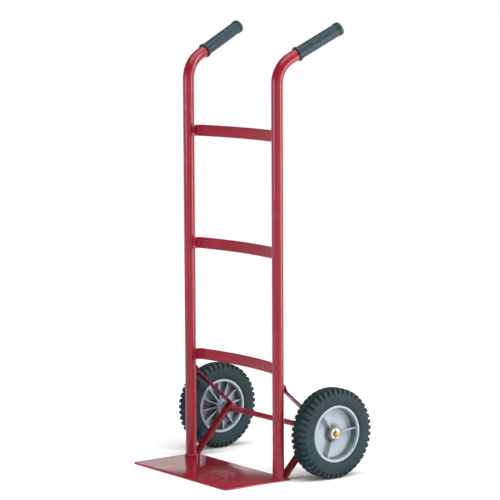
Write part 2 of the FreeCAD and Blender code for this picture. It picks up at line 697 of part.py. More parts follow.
def primitive(doc, kind, label, sizes, x="0", y="0", z="0", turn=turned("Z", 0)):
    """A Part primitive with bound sizes and Placement."""
    item = doc.addObject(f"Part::{kind}", label)
    for name, expression in sizes.items():
        item.setExpression(name, expression)
    place(item, x, y, z, turn)
    return item


def cotter_pin(doc, label, side):
    """Split pin down through the axle: an eye on top, and two legs bent apart below."""
    x = f"{side} * Layout.cotter_x"
    y = "Sizes.axle_setback"
    wire = "Sizes.cotter_od / 2"
    low = "(Layout.axle_height - Sizes.cotter_reach)"
    pieces = [
        primitive(doc, "Cylinder", f"{label}_shank", {"Radius": wire, "Height": "2 * Sizes.cotter_reach"},
                  x, y, low),
        primitive(doc, "Torus", f"{label}_eye", {"Radius1": "Sizes.cotter_eye", "Radius2": wire},
                  x, y, "Layout.axle_height + Sizes.cotter_reach + Sizes.cotter_eye", turned("Y", 90)),
    ]
    for sign in SIDES.values():
        sizes = {"Radius": wire, "Height": "Sizes.cotter_leg"}
        pieces.append(primitive(doc, "Cylinder", f"{label}_leg", sizes, x, y, low,
                                turned("X", f"180 + {sign} * Sizes.cotter_spread")))
    pin = doc.addObject("Part::MultiFuse", label)
    pin.Shapes = pieces
    pin.Refine = True
    return pin


def welds(doc, label, beads, pieces):
    """A group of weld beads, each cut back to the surfaces of the pieces that it joins."""
    group = doc.addObject("Part::Compound", f"{label}_beads")
    group.Links = beads
    for i, piece in enumerate(pieces):
        cut = doc.addObject("Part::Cut", label if piece is pieces[-1] else f"{label}_cut_{i}")
        cut.Base = group
        cut.Tool = piece
        group = cut
    return group


def bead(doc, label, length, x, y, z, turn=turned("Z", 0)):
    """A straight weld bead."""
    sizes = {"Radius": "Sizes.weld_radius", "Height": length}
    return primitive(doc, "Cylinder", label, sizes, x, y, z, turn)


def strap_beads(doc, side):
    """Upright beads in the groove between a tube and the straps' legs."""
    x = f"{side} * (Layout.strap_reach + Sizes.weld_out)"
    y = "Layout.tube_radius / 2"
    low = "Sizes.strap_low - Sizes.strap_height / 2 + Sizes.weld_end"
    length = "Sizes.strap_height - 2 * Sizes.weld_end"
    return [bead(doc, "strap_bead", length, x, y, f"{low} + {row} * Sizes.strap_pitch")
            for row in range(len(STRAPS))]


def bracket_beads(doc, side):
    """Beads beside the strip's end, beside the channel's foot and where the channel meets the strip."""
    beads = []
    y = "Layout.tube_radius - Sizes.weld_out"
    for sign in SIDES.values():
        x = f"{side} * Layout.tube_x + {sign} * Layout.tube_radius / 2"
        beads.append(bead(doc, "strip_bead", "Sizes.strip_top - Sizes.strip_height - 2 * Sizes.weld_end",
                          x, y, "Sizes.strip_height + Sizes.weld_end"))
        beads.append(bead(doc, "foot_bead", "Sizes.channel_foot - Sizes.plate_thickness - Sizes.weld_end / 2",
                          x, y, "Sizes.plate_thickness"))
    vertex_y = ("Sizes.axle_setback + Layout.vertex_u * cos(Layout.arm_angle)"
                " - Layout.ear_radius * sin(Layout.arm_angle)")
    vertex_z = ("Layout.axle_height + Layout.vertex_u * sin(Layout.arm_angle)"
                " + Layout.ear_radius * cos(Layout.arm_angle)")
    beads.append(bead(doc, "vertex_bead", "Sizes.channel_width - 4 * Sizes.weld_end",
                      f"{side} * Layout.tube_x - Sizes.channel_width / 2 + 2 * Sizes.weld_end",
                      vertex_y, vertex_z, turned("Y", 90)))
    return beads


def weld_ring(doc, label, radius, x, y, z, turn=turned("Z", 0)):
    """A slightly smaller weld bead round a bar or a tube."""
    sizes = {"Radius1": f"{radius} + Sizes.ring_out", "Radius2": "Sizes.ring_radius"}
    return primitive(doc, "Torus", label, sizes, x, y, z, turn)


def all_welds(doc, parts):
    """The weld beads of the whole frame, in four groups."""
    sides = SIDES.values()
    tubes = [parts[f"{name}_upright_tube"] for name in SIDES]
    channels = [parts[f"{name}_lower_bracket"] for name in SIDES]
    strips = [parts[f"{name}_upper_bracket"] for name in SIDES]
    straps = [parts[f"{name}_cross_strap"] for name in STRAPS]
    foot_rings = [weld_ring(doc, "foot_ring", "Layout.tube_radius", f"{side} * Layout.tube_x", "0",
                            "Sizes.plate_thickness") for side in sides]
    axle_rings = [weld_ring(doc, "axle_ring", "Layout.axle_radius",
                            f"{side} * (Layout.tube_x - Sizes.channel_width / 2)", "Sizes.axle_setback",
                            "Layout.axle_height", turned("Y", 90)) for side in sides]
    groups = {
        "strap_welds": welds(doc, "strap_welds", [item for side in sides for item in strap_beads(doc, side)],
                             tubes + straps),
        "bracket_welds": welds(doc, "bracket_welds",
                               [item for side in sides for item in bracket_beads(doc, side)],
                               tubes + channels + strips),
        "axle_welds": welds(doc, "axle_welds", axle_rings, [parts["axle"]] + channels),
    }
    groups["toe_plate_welds"] = welds(doc, "toe_plate_welds", foot_rings, tubes + channels
                                      + [parts["toe_plate"], groups["bracket_welds"]])
    return groups


def build(doc):
    """Every piece of the hand truck, by its name."""
    parts = {"toe_plate": toe_plate(doc, "toe_plate"), "axle": axle(doc, "axle")}
    for row, name in enumerate(STRAPS):
        parts[f"{name}_cross_strap"] = cross_strap(doc, f"{name}_cross_strap", row)
    makers = {
        "upright_tube": upright_tube,
        "grip": grip,
        "upper_bracket": upper_bracket,
        "lower_bracket": lower_bracket,
        "tyre": tyre,
        "wheel_centre": wheel_centre,
        "cotter_pin": cotter_pin,
    }
    for name, side in SIDES.items():
        for piece, make in makers.items():
            parts[f"{name}_{piece}"] = make(doc, f"{name}_{piece}", side)
        for end, facing in {"inner": -1, "outer": 1}.items():
            label = f"{name}_{end}_bush"
            parts[label] = hub_bush(doc, label, side, facing)
            label = f"{name}_{end}_washer"
            parts[label] = washer(doc, label, side, f"Layout.{end}_washer_x")
    doc.recompute()
    parts.update(all_welds(doc, parts))
    doc.recompute()
    return parts


def check(doc, parts):
    """Stop if any object is in error, or if a piece has no valid solid."""
    for item in doc.Objects:
        if {"Invalid", "Error"} & set(item.State):
            raise RuntimeError(f"{item.Label} is in error")
    for label, item in parts.items():
        if item.Shape.isNull() or not item.Shape.isValid() or not item.Shape.Solids:
            raise RuntimeError(f"{label} has no valid shape")


def main():
    """Build, check and write every piece."""
    doc = FreeCAD.newDocument("hand_truck")
    make_sheet(doc)
    make_layout(doc)
    parts = build(doc)
    check(doc, parts)
    os.makedirs("parts", exist_ok=True)
    for label, item in parts.items():
        item.Shape.exportStep(os.path.join("parts", f"{label}.step"))


main()
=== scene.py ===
"""Looks of a two-wheel steel hand truck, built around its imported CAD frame.

Lengths are metres, in the frame's own axes: +X across the truck, +Y to the back, +Z up. The CAD nodes
give every place and size. What has a plain pressed or turned shape is a softened copy of its CAD node,
and tubes, grips, tyres, pins and weld beads are modelled here.
"""
import logging
import math
from collections.abc import Iterable, Sequence
from dataclasses import dataclass, field
from enum import Enum
from math import cos, pi, radians, sin, sqrt

import bmesh
import bpy
from bpy.types import Material, Mesh, NodeSocket, NodeTree, Object
from mathutils import Matrix, Vector


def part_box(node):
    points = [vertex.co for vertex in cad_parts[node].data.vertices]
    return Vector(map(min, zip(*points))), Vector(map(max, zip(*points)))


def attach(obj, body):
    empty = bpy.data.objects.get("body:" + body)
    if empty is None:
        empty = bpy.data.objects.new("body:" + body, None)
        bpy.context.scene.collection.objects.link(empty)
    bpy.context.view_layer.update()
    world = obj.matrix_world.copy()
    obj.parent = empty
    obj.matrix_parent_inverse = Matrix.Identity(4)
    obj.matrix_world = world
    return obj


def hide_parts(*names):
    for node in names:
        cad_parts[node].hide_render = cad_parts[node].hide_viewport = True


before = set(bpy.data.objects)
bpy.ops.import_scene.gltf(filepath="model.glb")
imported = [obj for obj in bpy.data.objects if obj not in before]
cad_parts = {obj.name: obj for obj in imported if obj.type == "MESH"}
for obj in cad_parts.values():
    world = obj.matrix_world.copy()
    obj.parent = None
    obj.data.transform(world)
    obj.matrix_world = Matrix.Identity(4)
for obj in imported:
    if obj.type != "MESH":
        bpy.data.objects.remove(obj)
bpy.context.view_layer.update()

FRAME = "frame"
MM = 0.001
UP = Vector((0, 0, 1))
ACROSS = Vector((1, 0, 0))
BACK = Vector((0, 1, 0))
LOG = logging.getLogger("hand_truck")

Plane = tuple[float, float]
Point = tuple[float, float, float]
Colour = tuple[float, float, float]


class Side(Enum):
    """The two sides of the truck, with the sign of their X."""

    LEFT = -1
    RIGHT = 1

    @property
    def label(self) -> str:
        """The name that this side's pieces start with."""
        return self.name.lower()

    @property
    def wheel(self) -> str:
        """The CAD body of this side's wheel."""
        return f"{self.label}_wheel"


# ---- shader building


class Wire:
    """One output socket of a node tree, with operators that add Math nodes."""

    def __init__(self, tree: "Graph", socket: NodeSocket) -> None:
        """Wrap a socket of a tree."""
        self.tree = tree
        self.socket = socket

    def _math(self, operation: str, *values: "Wire | float") -> "Wire":
        """Add a Math node on these values."""
        return self.tree.node("ShaderNodeMath", {"operation": operation}, dict(enumerate(values)))

    def __add__(self, other: "Wire | float") -> "Wire":
        """This value plus another."""
        return self._math("ADD", self, other)

    def __radd__(self, other: float) -> "Wire":
        """A number plus this value."""
        return self._math("ADD", other, self)

    def __sub__(self, other: "Wire | float") -> "Wire":
        """This value less another."""
        return self._math("SUBTRACT", self, other)

    def __rsub__(self, other: float) -> "Wire":
        """A number less this value."""
        return self._math("SUBTRACT", other, self)

    def __mul__(self, other: "Wire | float") -> "Wire":
        """This value times another."""
        return self._math("MULTIPLY", self, other)

    def __rmul__(self, other: float) -> "Wire":
        """A number times this value."""
        return self._math("MULTIPLY", other, self)

    def __truediv__(self, other: "Wire | float") -> "Wire":
        """This value divided by another."""
        return self._math("DIVIDE", self, other)

    def __pow__(self, other: float) -> "Wire":
        """This value to a power."""
        return self._math("POWER", self, other)

    def __abs__(self) -> "Wire":
        """This value without its sign."""
        return self._math("ABSOLUTE", self)

    def sin(self) -> "Wire":
        """The sine of this value."""
        return self._math("SINE", self)

    def both(self, other: "Wire | float") -> "Wire":
        """The smaller of two masks."""
        return self._math("MINIMUM", self, other)

    def either(self, other: "Wire") -> "Wire":
        """The larger of two masks."""
        return self._math("MAXIMUM", self, other)

    def over(self, low: float, high: float) -> "Wire":
        """A mask that rises smoothly from 0 at low to 1 at high.

        Args:
            low: The value where the mask is 0.
            high: The value where the mask is 1; below low, the mask falls instead.

        Returns:
            The mask.
        """
        settings = {"interpolation_type": "SMOOTHSTEP", "clamp": True}
        flip = high < low
        ends = (high, low) if flip else (low, high)
        mask = self.tree.node("ShaderNodeMapRange", settings,
                              {"Value": self, "From Min": ends[0], "From Max": ends[1]})
        return 1 - mask if flip else mask


class Graph:
    """A node tree while it is being put together."""

    def __init__(self, group: NodeTree) -> None:
        """Start with a tree of Blender's."""
        self.nodes = group.nodes
        self.links = group.links
        self.nodes.clear()

    def node(self, kind: str, settings: dict | None = None, inputs: dict | None = None,
             output: int | str = 0) -> Wire:
        """Add any node.

        Args:
            kind: The node's type.
            settings: Its properties, set first.
            inputs: Its sockets' values or wires, by name or number.
            output: The output socket to return.

        Returns:
            The chosen output.
        """
        node = self.nodes.new(kind)
        for key, value in (settings or {}).items():
            setattr(node, key, value)
        for key, value in (inputs or {}).items():
            self.put(node.inputs[key], value)
        return Wire(self, node.outputs[output])

    def put(self, socket: NodeSocket, value: "Wire | float | Colour") -> None:
        """Link a wire to a socket, or set its value."""
        if isinstance(value, Wire):
            self.links.new(value.socket, socket)
        elif socket.type == "RGBA" and len(value) == 3:
            socket.default_value = (*value, 1.0)
        else:
            socket.default_value = value


class Tree(Graph):
    """A material's node tree, whose surface is one Principled shader."""

    def __init__(self, name: str) -> None:
        """Start the material."""
        self.material = bpy.data.materials.new(name)
        self.material.use_nodes = True
        super().__init__(self.material.node_tree)
        self.shader = self.nodes.new("ShaderNodeBsdfPrincipled")
        output = self.nodes.new("ShaderNodeOutputMaterial")
        self.links.new(self.shader.outputs["BSDF"], output.inputs["Surface"])
        self.place = self.node("ShaderNodeTexCoord", output="Object")

    def axes(self) -> tuple[Wire, Wire, Wire]:
        """The three object coordinates, which are the frame's own."""
        first = self.node("ShaderNodeSeparateXYZ", {}, {"Vector": self.place})
        return first, *(Wire(self, first.socket.node.outputs[i]) for i in (1, 2))

    def radius(self, hub: Point) -> Wire:
        """The distance from the line through a hub along the X axis."""
        _, back, up = self.axes()
        y, z = back - hub[1], up - hub[2]
        return (y * y + z * z) ** 0.5

    def noise(self, scale: float, detail: float = 4.0, place: Wire | None = None) -> Wire:
        """Cloudy noise from 0 to 1, with scale in features to a metre."""
        return self.node("ShaderNodeTexNoise", {"noise_dimensions": "3D"},
                         {"Vector": place or self.place, "Scale": scale, "Detail": detail, "Roughness": 0.55})

    def streaks(self, scale: Point, detail: float, turn: Point = (0, 0, 0)) -> Wire:
        """Noise drawn out into streaks, with its features to a metre along each axis."""
        place = self.node("ShaderNodeMapping", {"vector_type": "POINT"},
                          {"Vector": self.place, "Scale": scale, "Rotation": turn})
        return self.noise(1.0, detail, place)

    def cells(self, scale: float) -> Wire:
        """Distance to the nearest of many scattered points."""
        return self.node("ShaderNodeTexVoronoi", {"feature": "F1"}, {"Vector": self.place, "Scale": scale})

    def mix(self, mask: Wire | float, first: Wire | Colour, second: Wire | Colour) -> Wire:
        """A colour between two, by a mask."""
        node = self.nodes.new("ShaderNodeMix")
        node.data_type = "RGBA"
        for index, value in ((0, mask), (6, first), (7, second)):
            self.put(node.inputs[index], value)
        return Wire(self, node.outputs[2])

    def bump(self, heights: Iterable[tuple[Wire, float]]) -> None:
        """Raise the surface by each height, with its distance in metres, and feed the shader's normal."""
        normal = None
        for height, distance in heights:
            inputs = {"Height": height, "Distance": distance, "Strength": 1.0}
            if normal is not None:
                inputs["Normal"] = normal
            normal = self.node("ShaderNodeBump", {}, inputs)
        self.put(self.shader.inputs["Normal"], normal)

    def set(self, **values: "Wire | float | Colour") -> None:
        """Set the shader's sockets, whose names are written with underscores."""
        for key, value in values.items():
            self.put(self.shader.inputs[key.replace("_", " ").title().replace("Ior", "IOR")], value)


# ---- finishes


class Finish:
    """A surface finish. Each kind has a name, the record's slot that it belongs to, and a way to build it."""

    name: str
    slot: str

    def build(self) -> Material:
        """Build the finish's node tree."""
        raise NotImplementedError

    def material(self) -> Material:
        """The finish's material, built the first time that it is asked for."""
        return bpy.data.materials.get(self.name) or self.build()


@dataclass(frozen=True)
class Enamel(Finish):
    """Glossy crimson enamel over steel, a little uneven, with fine scuffs where things touch it."""

    name: str
    slot: str = "red_paint"
    colour: Colour = (0.285, 0.010, 0.029)
    deep: Colour = (0.21, 0.0065, 0.019)
    scuff: Colour = (0.36, 0.045, 0.06)
    roughness: float = 0.22
    scuffs: float = 0.08
    gloss: float = 0.26
    coat: float = 0.24
    coat_roughness: float = 0.08

    def build(self) -> Material:
        """Build the paint."""
        tree = Tree(self.name)
        cloud = tree.noise(9.0, 3.0)
        mottle = tree.noise(60.0, 5.0)
        streaks = tree.streaks((60.0, 700.0, 60.0), 4.0, (0.3, 0.5, 0.9))
        cross = tree.streaks((800.0, 50.0, 70.0), 4.0, (0.2, 0.1, 0.4))
        scratches = streaks.over(0.70, 0.76).either(cross.over(0.71, 0.77)) * cloud.over(0.42, 0.62)
        depth = (cloud * 0.6 + mottle * 0.4).over(0.25, 0.75)
        colour = tree.mix(depth, self.deep, self.colour)
        colour = tree.mix(scratches * self.scuffs, colour, self.scuff)
        dust = tree.noise(350.0, 3.0).over(0.60, 0.8)
        tree.set(base_color=colour, roughness=self.roughness + 0.10 * cloud.over(0.35, 0.8)
                 + 0.22 * scratches * self.scuffs + 0.05 * dust,
                 specular_ior_level=self.gloss, coat_weight=self.coat, coat_roughness=self.coat_roughness)
        peel = tree.noise(420.0, 2.0)
        tree.bump([(peel, 0.00002), (mottle, 0.00003), (1 - scratches, 0.00003)])
        return tree.material


@dataclass(frozen=True)
class ZincAxle(Finish):
    """The axle: crimson enamel between its brackets, and bare yellow zinc outside them."""

    name: str
    paint_end: float
    slot: str = "axle_steel"
    colour: Colour = (0.26, 0.014, 0.028)
    deep: Colour = (0.18, 0.010, 0.02)
    zinc: Colour = (0.40, 0.31, 0.11)
    zinc_dark: Colour = (0.15, 0.13, 0.05)

    def build(self) -> Material:
        """Build the two finishes, divided by the distance from the truck's middle."""
        tree = Tree(self.name)
        across, _, _ = tree.axes()
        edge = tree.noise(500.0, 3.0) * 0.003
        bare = (abs(across) + edge).over(self.paint_end, self.paint_end + 0.002)
        cloud = tree.noise(30.0, 4.0)
        lathe = tree.streaks((4000.0, 40.0, 40.0), 2.0)
        paint = tree.mix(cloud.over(0.3, 0.7), self.deep, self.colour)
        plate = tree.mix((cloud * 0.5 + lathe * 0.5).over(0.35, 0.65), self.zinc_dark, self.zinc)
        tree.set(base_color=tree.mix(bare, paint, plate), metallic=bare * 0.9,
                 roughness=0.26 + bare * 0.1 + 0.12 * cloud.over(0.4, 0.8), specular_ior_level=0.5)
        tree.bump([(tree.noise(420.0, 2.0), 0.00004), (lathe, 0.00003)])
        return tree.material


@dataclass(frozen=True)
class Vinyl(Finish):
    """Dark teal dipped vinyl with a fine leathery grain, polished where hands hold it."""

    name: str
    slot: str = "grip_vinyl"
    colour: Colour = (0.006, 0.024, 0.035)
    worn: Colour = (0.013, 0.038, 0.052)

    def build(self) -> Material:
        """Build the vinyl."""
        tree = Tree(self.name)
        cloud = tree.noise(40.0, 4.0)
        grain = tree.cells(900.0)
        speck = tree.noise(1500.0, 2.0)
        tree.set(base_color=tree.mix((cloud * 0.7 + speck * 0.3).over(0.35, 0.7), self.colour, self.worn),
                 roughness=0.34 + 0.14 * cloud.over(0.3, 0.7) + 0.06 * speck,
                 specular_ior_level=0.3)
        tree.bump([(grain, 0.00008), (cloud, 0.00015)])
        return tree.material


@dataclass(frozen=True)
class Rubber(Finish):
    """Dark blue-black tyre rubber, with moulded rings on the sidewall and dust on the tread."""

    name: str
    hub: Point
    slot: str = "tyre_rubber"
    colour: Colour = (0.003, 0.013, 0.017)
    bloom: Colour = (0.010, 0.028, 0.034)
    dust: Colour = (0.05, 0.07, 0.078)
    tread_from: float = 0.092

    def build(self) -> Material:
        """Build the rubber, with rings about the wheel's axis."""
        tree = Tree(self.name)
        radius = tree.radius(self.hub)
        cloud = tree.noise(28.0, 5.0)
        fine = tree.noise(700.0, 4.0)
        speck = tree.cells(420.0)
        rings = (radius * 5200.0).sin() * 0.5 + 0.5
        sidewall = radius.over(self.tread_from, self.tread_from - 0.006)
        bloom = (cloud * 0.75 + fine * 0.25).over(0.38, 0.66)
        colour = tree.mix(bloom, self.colour, self.bloom)
        dusty = (radius.over(0.090, 0.099) * 0.22 + 0.08) * cloud.over(0.45, 0.75)
        colour = tree.mix(dusty, colour, self.dust)
        tree.set(base_color=colour, roughness=0.50 + 0.16 * bloom + 0.1 * dusty,
                 specular_ior_level=0.27)
        tree.bump([(rings * sidewall, 0.00006), (fine, 0.00022), (1 - speck, 0.00006)])
        return tree.material


@dataclass(frozen=True)
class Moulding(Finish):
    """Light grey moulded plastic, finely textured, with painted shade in its corners and on its inner side."""

    name: str
    hub: Point
    slot: str = "wheel_plastic"
    colour: Colour = (0.38, 0.43, 0.48)
    shade: Colour = (0.25, 0.29, 0.335)
    # the dark colour of the painted shade in the dish's corners and on the wheel's inner side
    grime: Colour = (0.055, 0.072, 0.08)

    def build(self) -> Material:
        """Build the plastic."""
        tree = Tree(self.name)
        across, _, _ = tree.axes()
        radius = tree.radius(self.hub)
        cloud = tree.noise(35.0, 5.0)
        fine = tree.noise(900.0, 3.0)
        flow = tree.streaks((20.0, 20.0, 160.0), 3.0, (0.6, 0.0, 0.0))
        tone = (cloud * 0.5 + flow * 0.15 + fine * 0.35).over(0.30, 0.70)
        # painted shade: the corners by the hub boss and by the dish's wall, deep in the dish, and the inner
        # side of the web are darkened towards the painted shade colour
        corner = radius.over(0.026, 0.0165).either(radius.over(0.0515, 0.0555))
        inward = abs(self.hub[0]) - abs(across)
        recess = abs(inward).over(0.0185, 0.012)
        behind = inward.over(0.001, 0.004) * inward.over(0.0165, 0.012)
        grime = (corner * recess * (cloud.over(0.20, 0.62) * 0.35 + 0.45)).either(behind * 0.62)
        tree.set(base_color=tree.mix(grime, tree.mix(tone, self.shade, self.colour), self.grime),
                 roughness=0.38 + 0.14 * tone + 0.2 * grime, specular_ior_level=0.45)
        tree.bump([(fine, 0.00010), (cloud, 0.00012)])
        return tree.material


@dataclass(frozen=True)
class PlatedSteel(Finish):
    """Turned or stamped steel with a plated skin, streaked and a little stained."""

    name: str
    slot: str
    colour: Colour
    stain: Colour
    roughness: float = 0.32
    metallic: float = 1.0

    def build(self) -> Material:
        """Build the plating."""
        tree = Tree(self.name)
        cloud = tree.noise(160.0, 5.0)
        fine = tree.noise(1800.0, 3.0)
        turned = tree.streaks((300.0, 2600.0, 2600.0), 2.0)
        stained = (cloud * 0.7 + fine * 0.3).over(0.48, 0.70)
        tree.set(base_color=tree.mix(stained * 0.7, self.colour, self.stain), metallic=self.metallic,
                 roughness=self.roughness + 0.16 * stained + 0.06 * turned)
        tree.bump([(turned, 0.00003), (fine, 0.00004)])
        return tree.material


# ---- meshes


def placed(mesh: Mesh) -> Object:
    """Put a mesh in the scene as an object of the same name."""
    obj = bpy.data.objects.new(mesh.name, mesh)
    bpy.context.scene.collection.objects.link(obj)
    return obj


@dataclass
class Shell:
    """Points and faces of a closed surface while it is being put together."""

    points: list[Point] = field(default_factory=list)
    faces: list[tuple[int, ...]] = field(default_factory=list)

    def add(self, points: Iterable[Sequence[float]], faces: Iterable[Sequence[int]]) -> None:
        """Add points, and faces that count from the first of them."""
        start = len(self.points)
        self.points.extend(tuple(map(float, point)) for point in points)
        self.faces.extend(tuple(start + i for i in face) for face in faces)

    def grid(self, rings: Sequence[Sequence[Sequence[float]]], loop: bool, cap: bool) -> None:
        """Join rings of points, each a closed loop, into a skin.

        Args:
            rings: Loops with the same number of points, in order.
            loop: Whether the last ring joins the first.
            cap: Whether the first and last rings are closed with a flat face.
        """
        count = len(rings[0])
        flat = [point for ring in rings for point in ring]
        spans = len(rings) if loop else len(rings) - 1
        faces = []
        for i in range(spans):
            a, b = i * count, (i + 1) % len(rings) * count
            faces += [(a + j, a + (j + 1) % count, b + (j + 1) % count, b + j) for j in range(count)]
        if cap:
            faces += [tuple(range(count))[::-1], tuple((len(rings) - 1) * count + j for j in range(count))]
        self.add(flat, faces)

    def object(self, name: str, sharp: float = 40.0) -> Object:
        """Make the object, merged, turned outwards, and smooth except at edges sharper than an angle.

        Args:
            name: The object's name.
            sharp: The angle in degrees.

        Returns:
            The object, in the scene.
        """
        obj = self.raw(name)
        clean(obj.data)
        smooth(obj.data, sharp)
        return obj

    def raw(self, name: str) -> Object:
        """Make the object with its points and faces as they are."""
        mesh = bpy.data.meshes.new(name)
        mesh.from_pydata(self.points, [], self.faces)
        return placed(mesh)


def swept(name: str, rings: Sequence[Sequence[Sequence[float]]], loop: bool,
          sharp: float = 50.0) -> Object:
    """The object whose skin joins rings of points: round to the first ring, or capped at both ends."""
    shell = Shell()
    shell.grid(rings, loop=loop, cap=not loop)
    return shell.object(name, sharp)


def clean(mesh: Mesh, within: float = 1e-6, flat: float | None = None) -> None:
    """Merge a mesh's doubles and turn its faces outwards.

    Args:
        mesh: The mesh to change.
        within: How near two points are merged, in metres.
        flat: If given, faces that meet at less than this angle in degrees become one.
    """
    bm = bmesh.new()
    bm.from_mesh(mesh)
    bmesh.ops.remove_doubles(bm, verts=bm.verts, dist=within)
    bmesh.ops.dissolve_degenerate(bm, edges=bm.edges, dist=within)
    if flat is not None:
        bmesh.ops.dissolve_limit(bm, angle_limit=radians(flat), verts=bm.verts, edges=bm.edges)
    bmesh.ops.recalc_face_normals(bm, faces=bm.faces)
    bm.to_mesh(mesh)
    bm.free()
    mesh.update()


def smooth(mesh: Mesh, sharp: float) -> None:
    """Shade a mesh smooth except at edges sharper than an angle in degrees."""
    mesh.polygons.foreach_set("use_smooth", [True] * len(mesh.polygons))
    mesh.set_sharp_from_angle(angle=radians(sharp))


def settle(obj: Object) -> Object:
    """Turn an object's modifiers into a plain mesh."""
    bpy.context.view_layer.update()
    graph = bpy.context.evaluated_depsgraph_get()
    mesh = bpy.data.meshes.new_from_object(obj.evaluated_get(graph), depsgraph=graph)
    obj.modifiers.clear()
    old, obj.data = obj.data, mesh
    bpy.data.meshes.remove(old)
    return obj


def soften(obj: Object, width: float, angle: float = 30.0, steps: int = 2) -> Object:
    """Round every edge sharper than an angle.

    Args:
        obj: The object, with one clean closed mesh.
        width: How far the rounding reaches from the edge.
        angle: The angle in degrees.
        steps: The faces across each rounding.

    Returns:
        The same object.
    """
    bevel = obj.modifiers.new("edges", "BEVEL")
    bevel.width = width
    bevel.segments = steps
    bevel.limit_method = "ANGLE"
    bevel.angle_limit = radians(angle)
    settle(obj)
    smooth(obj.data, 40.0)
    return obj


def copy_node(node: str, name: str, flat: float = 1.0) -> Object:
    """A merged copy of a CAD node, with its flat faces whole again."""
    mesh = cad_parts[node].data.copy()
    mesh.name = name
    obj = placed(mesh)
    obj.data.materials.clear()
    clean(obj.data, 2e-6, flat)
    smooth(obj.data, 30.0)
    return obj


def middle(node: str) -> Vector:
    """The middle of a CAD node's box."""
    low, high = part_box(node)
    return (low + high) / 2


def ring_points(centre: Vector, first: Vector, second: Vector, radius: float, count: int) -> list[Vector]:
    """Points round a circle in the plane of two unit vectors."""
    turns = [2 * pi * i / count for i in range(count)]
    return [centre + (first * cos(turn) + second * sin(turn)) * radius for turn in turns]


def arc(centre: Plane, radius: float, start: float, end: float, steps: int) -> list[Plane]:
    """Points along an arc in a plane, with angles in degrees."""
    turns = [radians(start + (end - start) * i / steps) for i in range(steps + 1)]
    return [(centre[0] + radius * cos(turn), centre[1] + radius * sin(turn)) for turn in turns]


def finished(obj: Object, finish: Finish, body: str, *nodes: str) -> Object:
    """Dress a piece, hang it on its body and let it stand for its CAD nodes.

    Args:
        obj: The piece.
        finish: Its finish.
        body: The CAD body that it moves with.
        nodes: The CAD nodes that it stands for.

    Returns:
        The piece.
    """
    obj.data.materials.clear()
    obj.data.materials.append(finish.material())
    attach(obj, body)
    if nodes:
        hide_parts(*nodes)
    LOG.info("%s: %d faces on %s", obj.name, len(obj.data.polygons), body)
    return obj


# ---- geometry nodes


class Growth(Graph):
    """A Geometry Nodes tree while it is being put together, and the modifier that runs it."""

    def __init__(self, name: str, inputs: dict[str, str]) -> None:
        """Start a tree.

        Args:
            name: The tree's name.
            inputs: The type of each named input after the geometry.
        """
        group = bpy.data.node_groups.new(name, "GeometryNodeTree")
        face = group.interface
        face.new_socket("Geometry", in_out="INPUT", socket_type="NodeSocketGeometry")
        self.identifiers = {label: face.new_socket(label, in_out="INPUT", socket_type=kind).identifier
                            for label, kind in inputs.items()}
        face.new_socket("Geometry", in_out="OUTPUT", socket_type="NodeSocketGeometry")
        super().__init__(group)
        self.group = group
        self.entry = self.nodes.new("NodeGroupInput")
        self.exit = self.nodes.new("NodeGroupOutput")

    def given(self, label: str) -> Wire:
        """A named input of the tree."""
        return Wire(self, self.entry.outputs[label])

    def result(self, geometry: Wire) -> None:
        """End the tree: real geometry, with its material."""
        real = self.node("GeometryNodeRealizeInstances", {}, {0: geometry})
        inputs = {"Geometry": real, "Material": self.given("Material")}
        dressed = self.node("GeometryNodeSetMaterial", {}, inputs)
        self.links.new(dressed.socket, self.exit.inputs[0])

    def grow(self, obj: Object, **values: object) -> Object:
        """Run the tree on an object and keep the result as its plain mesh.

        Args:
            obj: The object whose mesh is the tree's geometry.
            values: The named inputs, with underscores for spaces.

        Returns:
            The same object.
        """
        modifier = obj.modifiers.new(self.group.name, "NODES")
        modifier.node_group = self.group
        for label, value in values.items():
            modifier[self.identifiers[label.replace("_", " ")]] = value
        return settle(obj)


def ring_tree() -> Growth:
    """A tree that repeats a sector about the X axis, joins the sectors and moves the ring into place."""
    tree = Growth("ring_of_sectors", {"Count": "NodeSocketInt", "Centre": "NodeSocketVector",
                                      "Weld": "NodeSocketFloat", "Material": "NodeSocketMaterial"})
    count = tree.given("Count")
    points = tree.node("GeometryNodePoints", {}, {"Count": count})
    turn = tree.node("GeometryNodeInputIndex") * (2 * pi) / count
    euler = tree.node("ShaderNodeCombineXYZ", {}, {"X": turn})
    copies = tree.node("GeometryNodeInstanceOnPoints", {},
                       {"Points": points, "Instance": tree.given("Geometry"), "Rotation": euler})
    real = tree.node("GeometryNodeRealizeInstances", {}, {0: copies})
    joined = tree.node("GeometryNodeMergeByDistance", {}, {"Geometry": real, "Distance": tree.given("Weld")})
    place = {"Geometry": joined, "Translation": tree.given("Centre")}
    tree.result(tree.node("GeometryNodeTransform", {}, place))
    return tree


